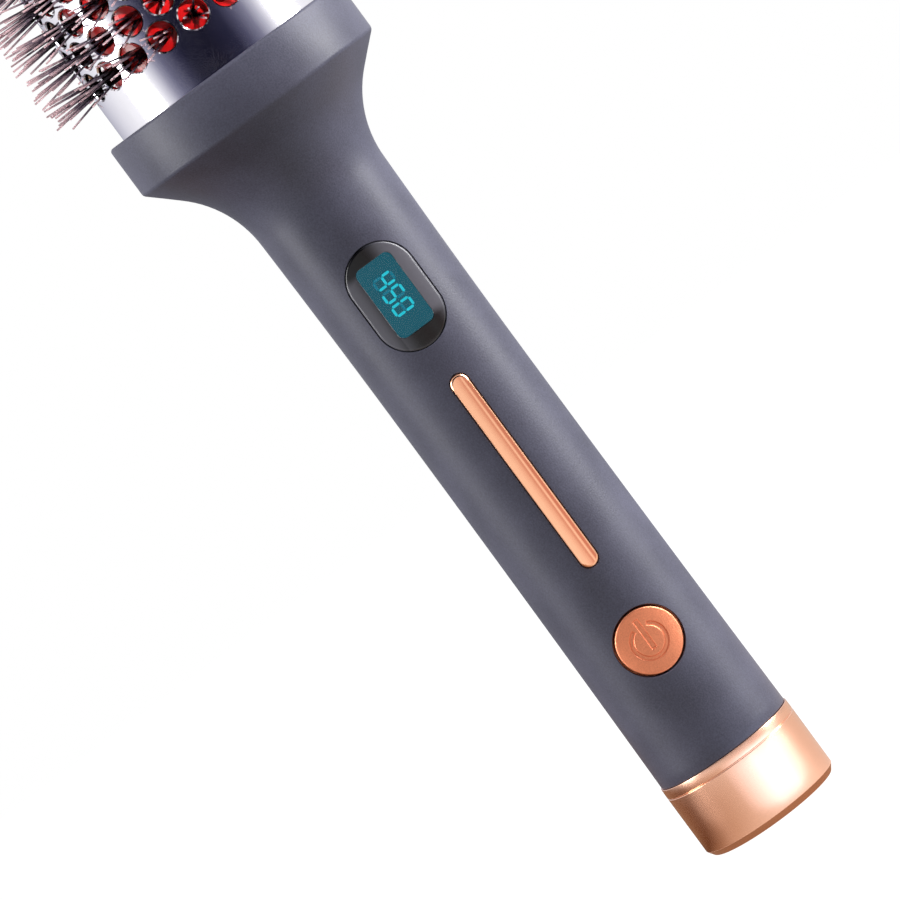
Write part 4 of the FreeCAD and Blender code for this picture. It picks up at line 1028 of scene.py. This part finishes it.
pale_floor(1.2, 0.96)
surroundings(0.12)
# The cards paint reflections: where dense they darken what the metal mirrors in front and to the sides, their
# warm and copper tints deepen the colour of the darker reflections in the rose gold, and the ring under the
# cap paints the shade at its foot into its chamfer.
COOL, WARM, COPPER = (1.0, 0.8), (1.4, 1.8), (2.0, 2.2)
reflector("tall_card", (1350, 100), (1350, 1600), COOL, 180, (
    (-180, 0.4), (-152, 0.6), (-125, 0.86), (-108, 1.0), (-66, 1.0), (-60, 0.7), (-52, 0.32), (-45, 0.15),
    (-30, 0.03), (-22, 0.01), (0, 0.006), (22, 0.02), (33, 0.08), (45, 0.22), (55, 0.56), (62, 0.9),
    (71, 1.0), (152, 0.9), (180, 0.4)))
reflector("table_card_far", (300, 0.3), (2400, 0.3), COPPER, 60, (
    (-180, 0.2), (-100, 0.3), (-70, 0.7), (-52, 1.0), (-24, 1.0), (-10, 0.93), (4, 0.84), (12, 0.72),
    (17, 0.72), (22, 1.0), (27, 0.96), (33, 0.6), (48, 0.56), (70, 0.6), (100, 0.5), (180, 0.2)))
reflector("table_card_near", (17.2, 0.3), (300, 0.3), WARM, 180, (
    (-180, 0.2), (-152, 0.28), (-102, 0.14), (-71, 0.33), (-46, 0.54), (-22, 0.72), (0, 0.84), (14, 0.88),
    (72, 0.84), (102, 0.78), (150, 0.7), (180, 0.2)))
reflector("table_card_under", (14.2, 0.05), (17.2, 0.05), WARM, 180, (
    (-180, 0.2), (0, 0.36), (90, 0.34), (180, 0.2)))
for side, position, power in (("left", (-1.09, -0.153, 0.45), 9.8), ("right", (1.085, -0.191, 0.45), 21.0)):
    lamp(side + "_softbox", "AREA", position, (0, 0, 0.12), shape="RECTANGLE", size=0.55, size_y=0.8,
         energy=power)

# Seven strips of light before the cap, each narrower and nearer than the last, so that the
# highlight they make in its polish fades at both sides; and a beam into the holes, which
# lights the core and the bristles and shows in no mirror.
GLINT_HEIGHT, GLINT_AWAY, GLINT_NEARER = 0.0073, 0.030, 0.0007
GLINT_WIDTH, GLINT_NARROWING, GLINT_TALL, GLINT_POWER = 0.068, 0.77, 0.0142, 0.009
for step in range(7):
    away, width = GLINT_AWAY - GLINT_NEARER * step, GLINT_WIDTH * GLINT_NARROWING ** step
    glint = lamp("low_strip_light", "AREA", (0.463 * away, -0.886 * away, GLINT_HEIGHT),
                 (0, 0, GLINT_HEIGHT), shape="RECTANGLE", size=width, size_y=GLINT_TALL,
                 energy=GLINT_POWER * width, color=(0.75, 0.92, 1.25))
    glint.visible_diffuse = False
beam = lamp("core_lamp", "SPOT", (0.22, -0.98, 0.30), (0, 0, 0.246), spot_size=math.radians(5.9),
            spot_blend=0.2, shadow_soft_size=0.02, energy=52.0)
beam.visible_glossy = beam.visible_transmission = False
camera_at((-0.03407, -1.19974, 0.187), (-0.00929, 0.0, 0.09954), math.radians(36.41), math.radians(8.744))
bpy.context.scene.view_settings.view_transform = "Standard"
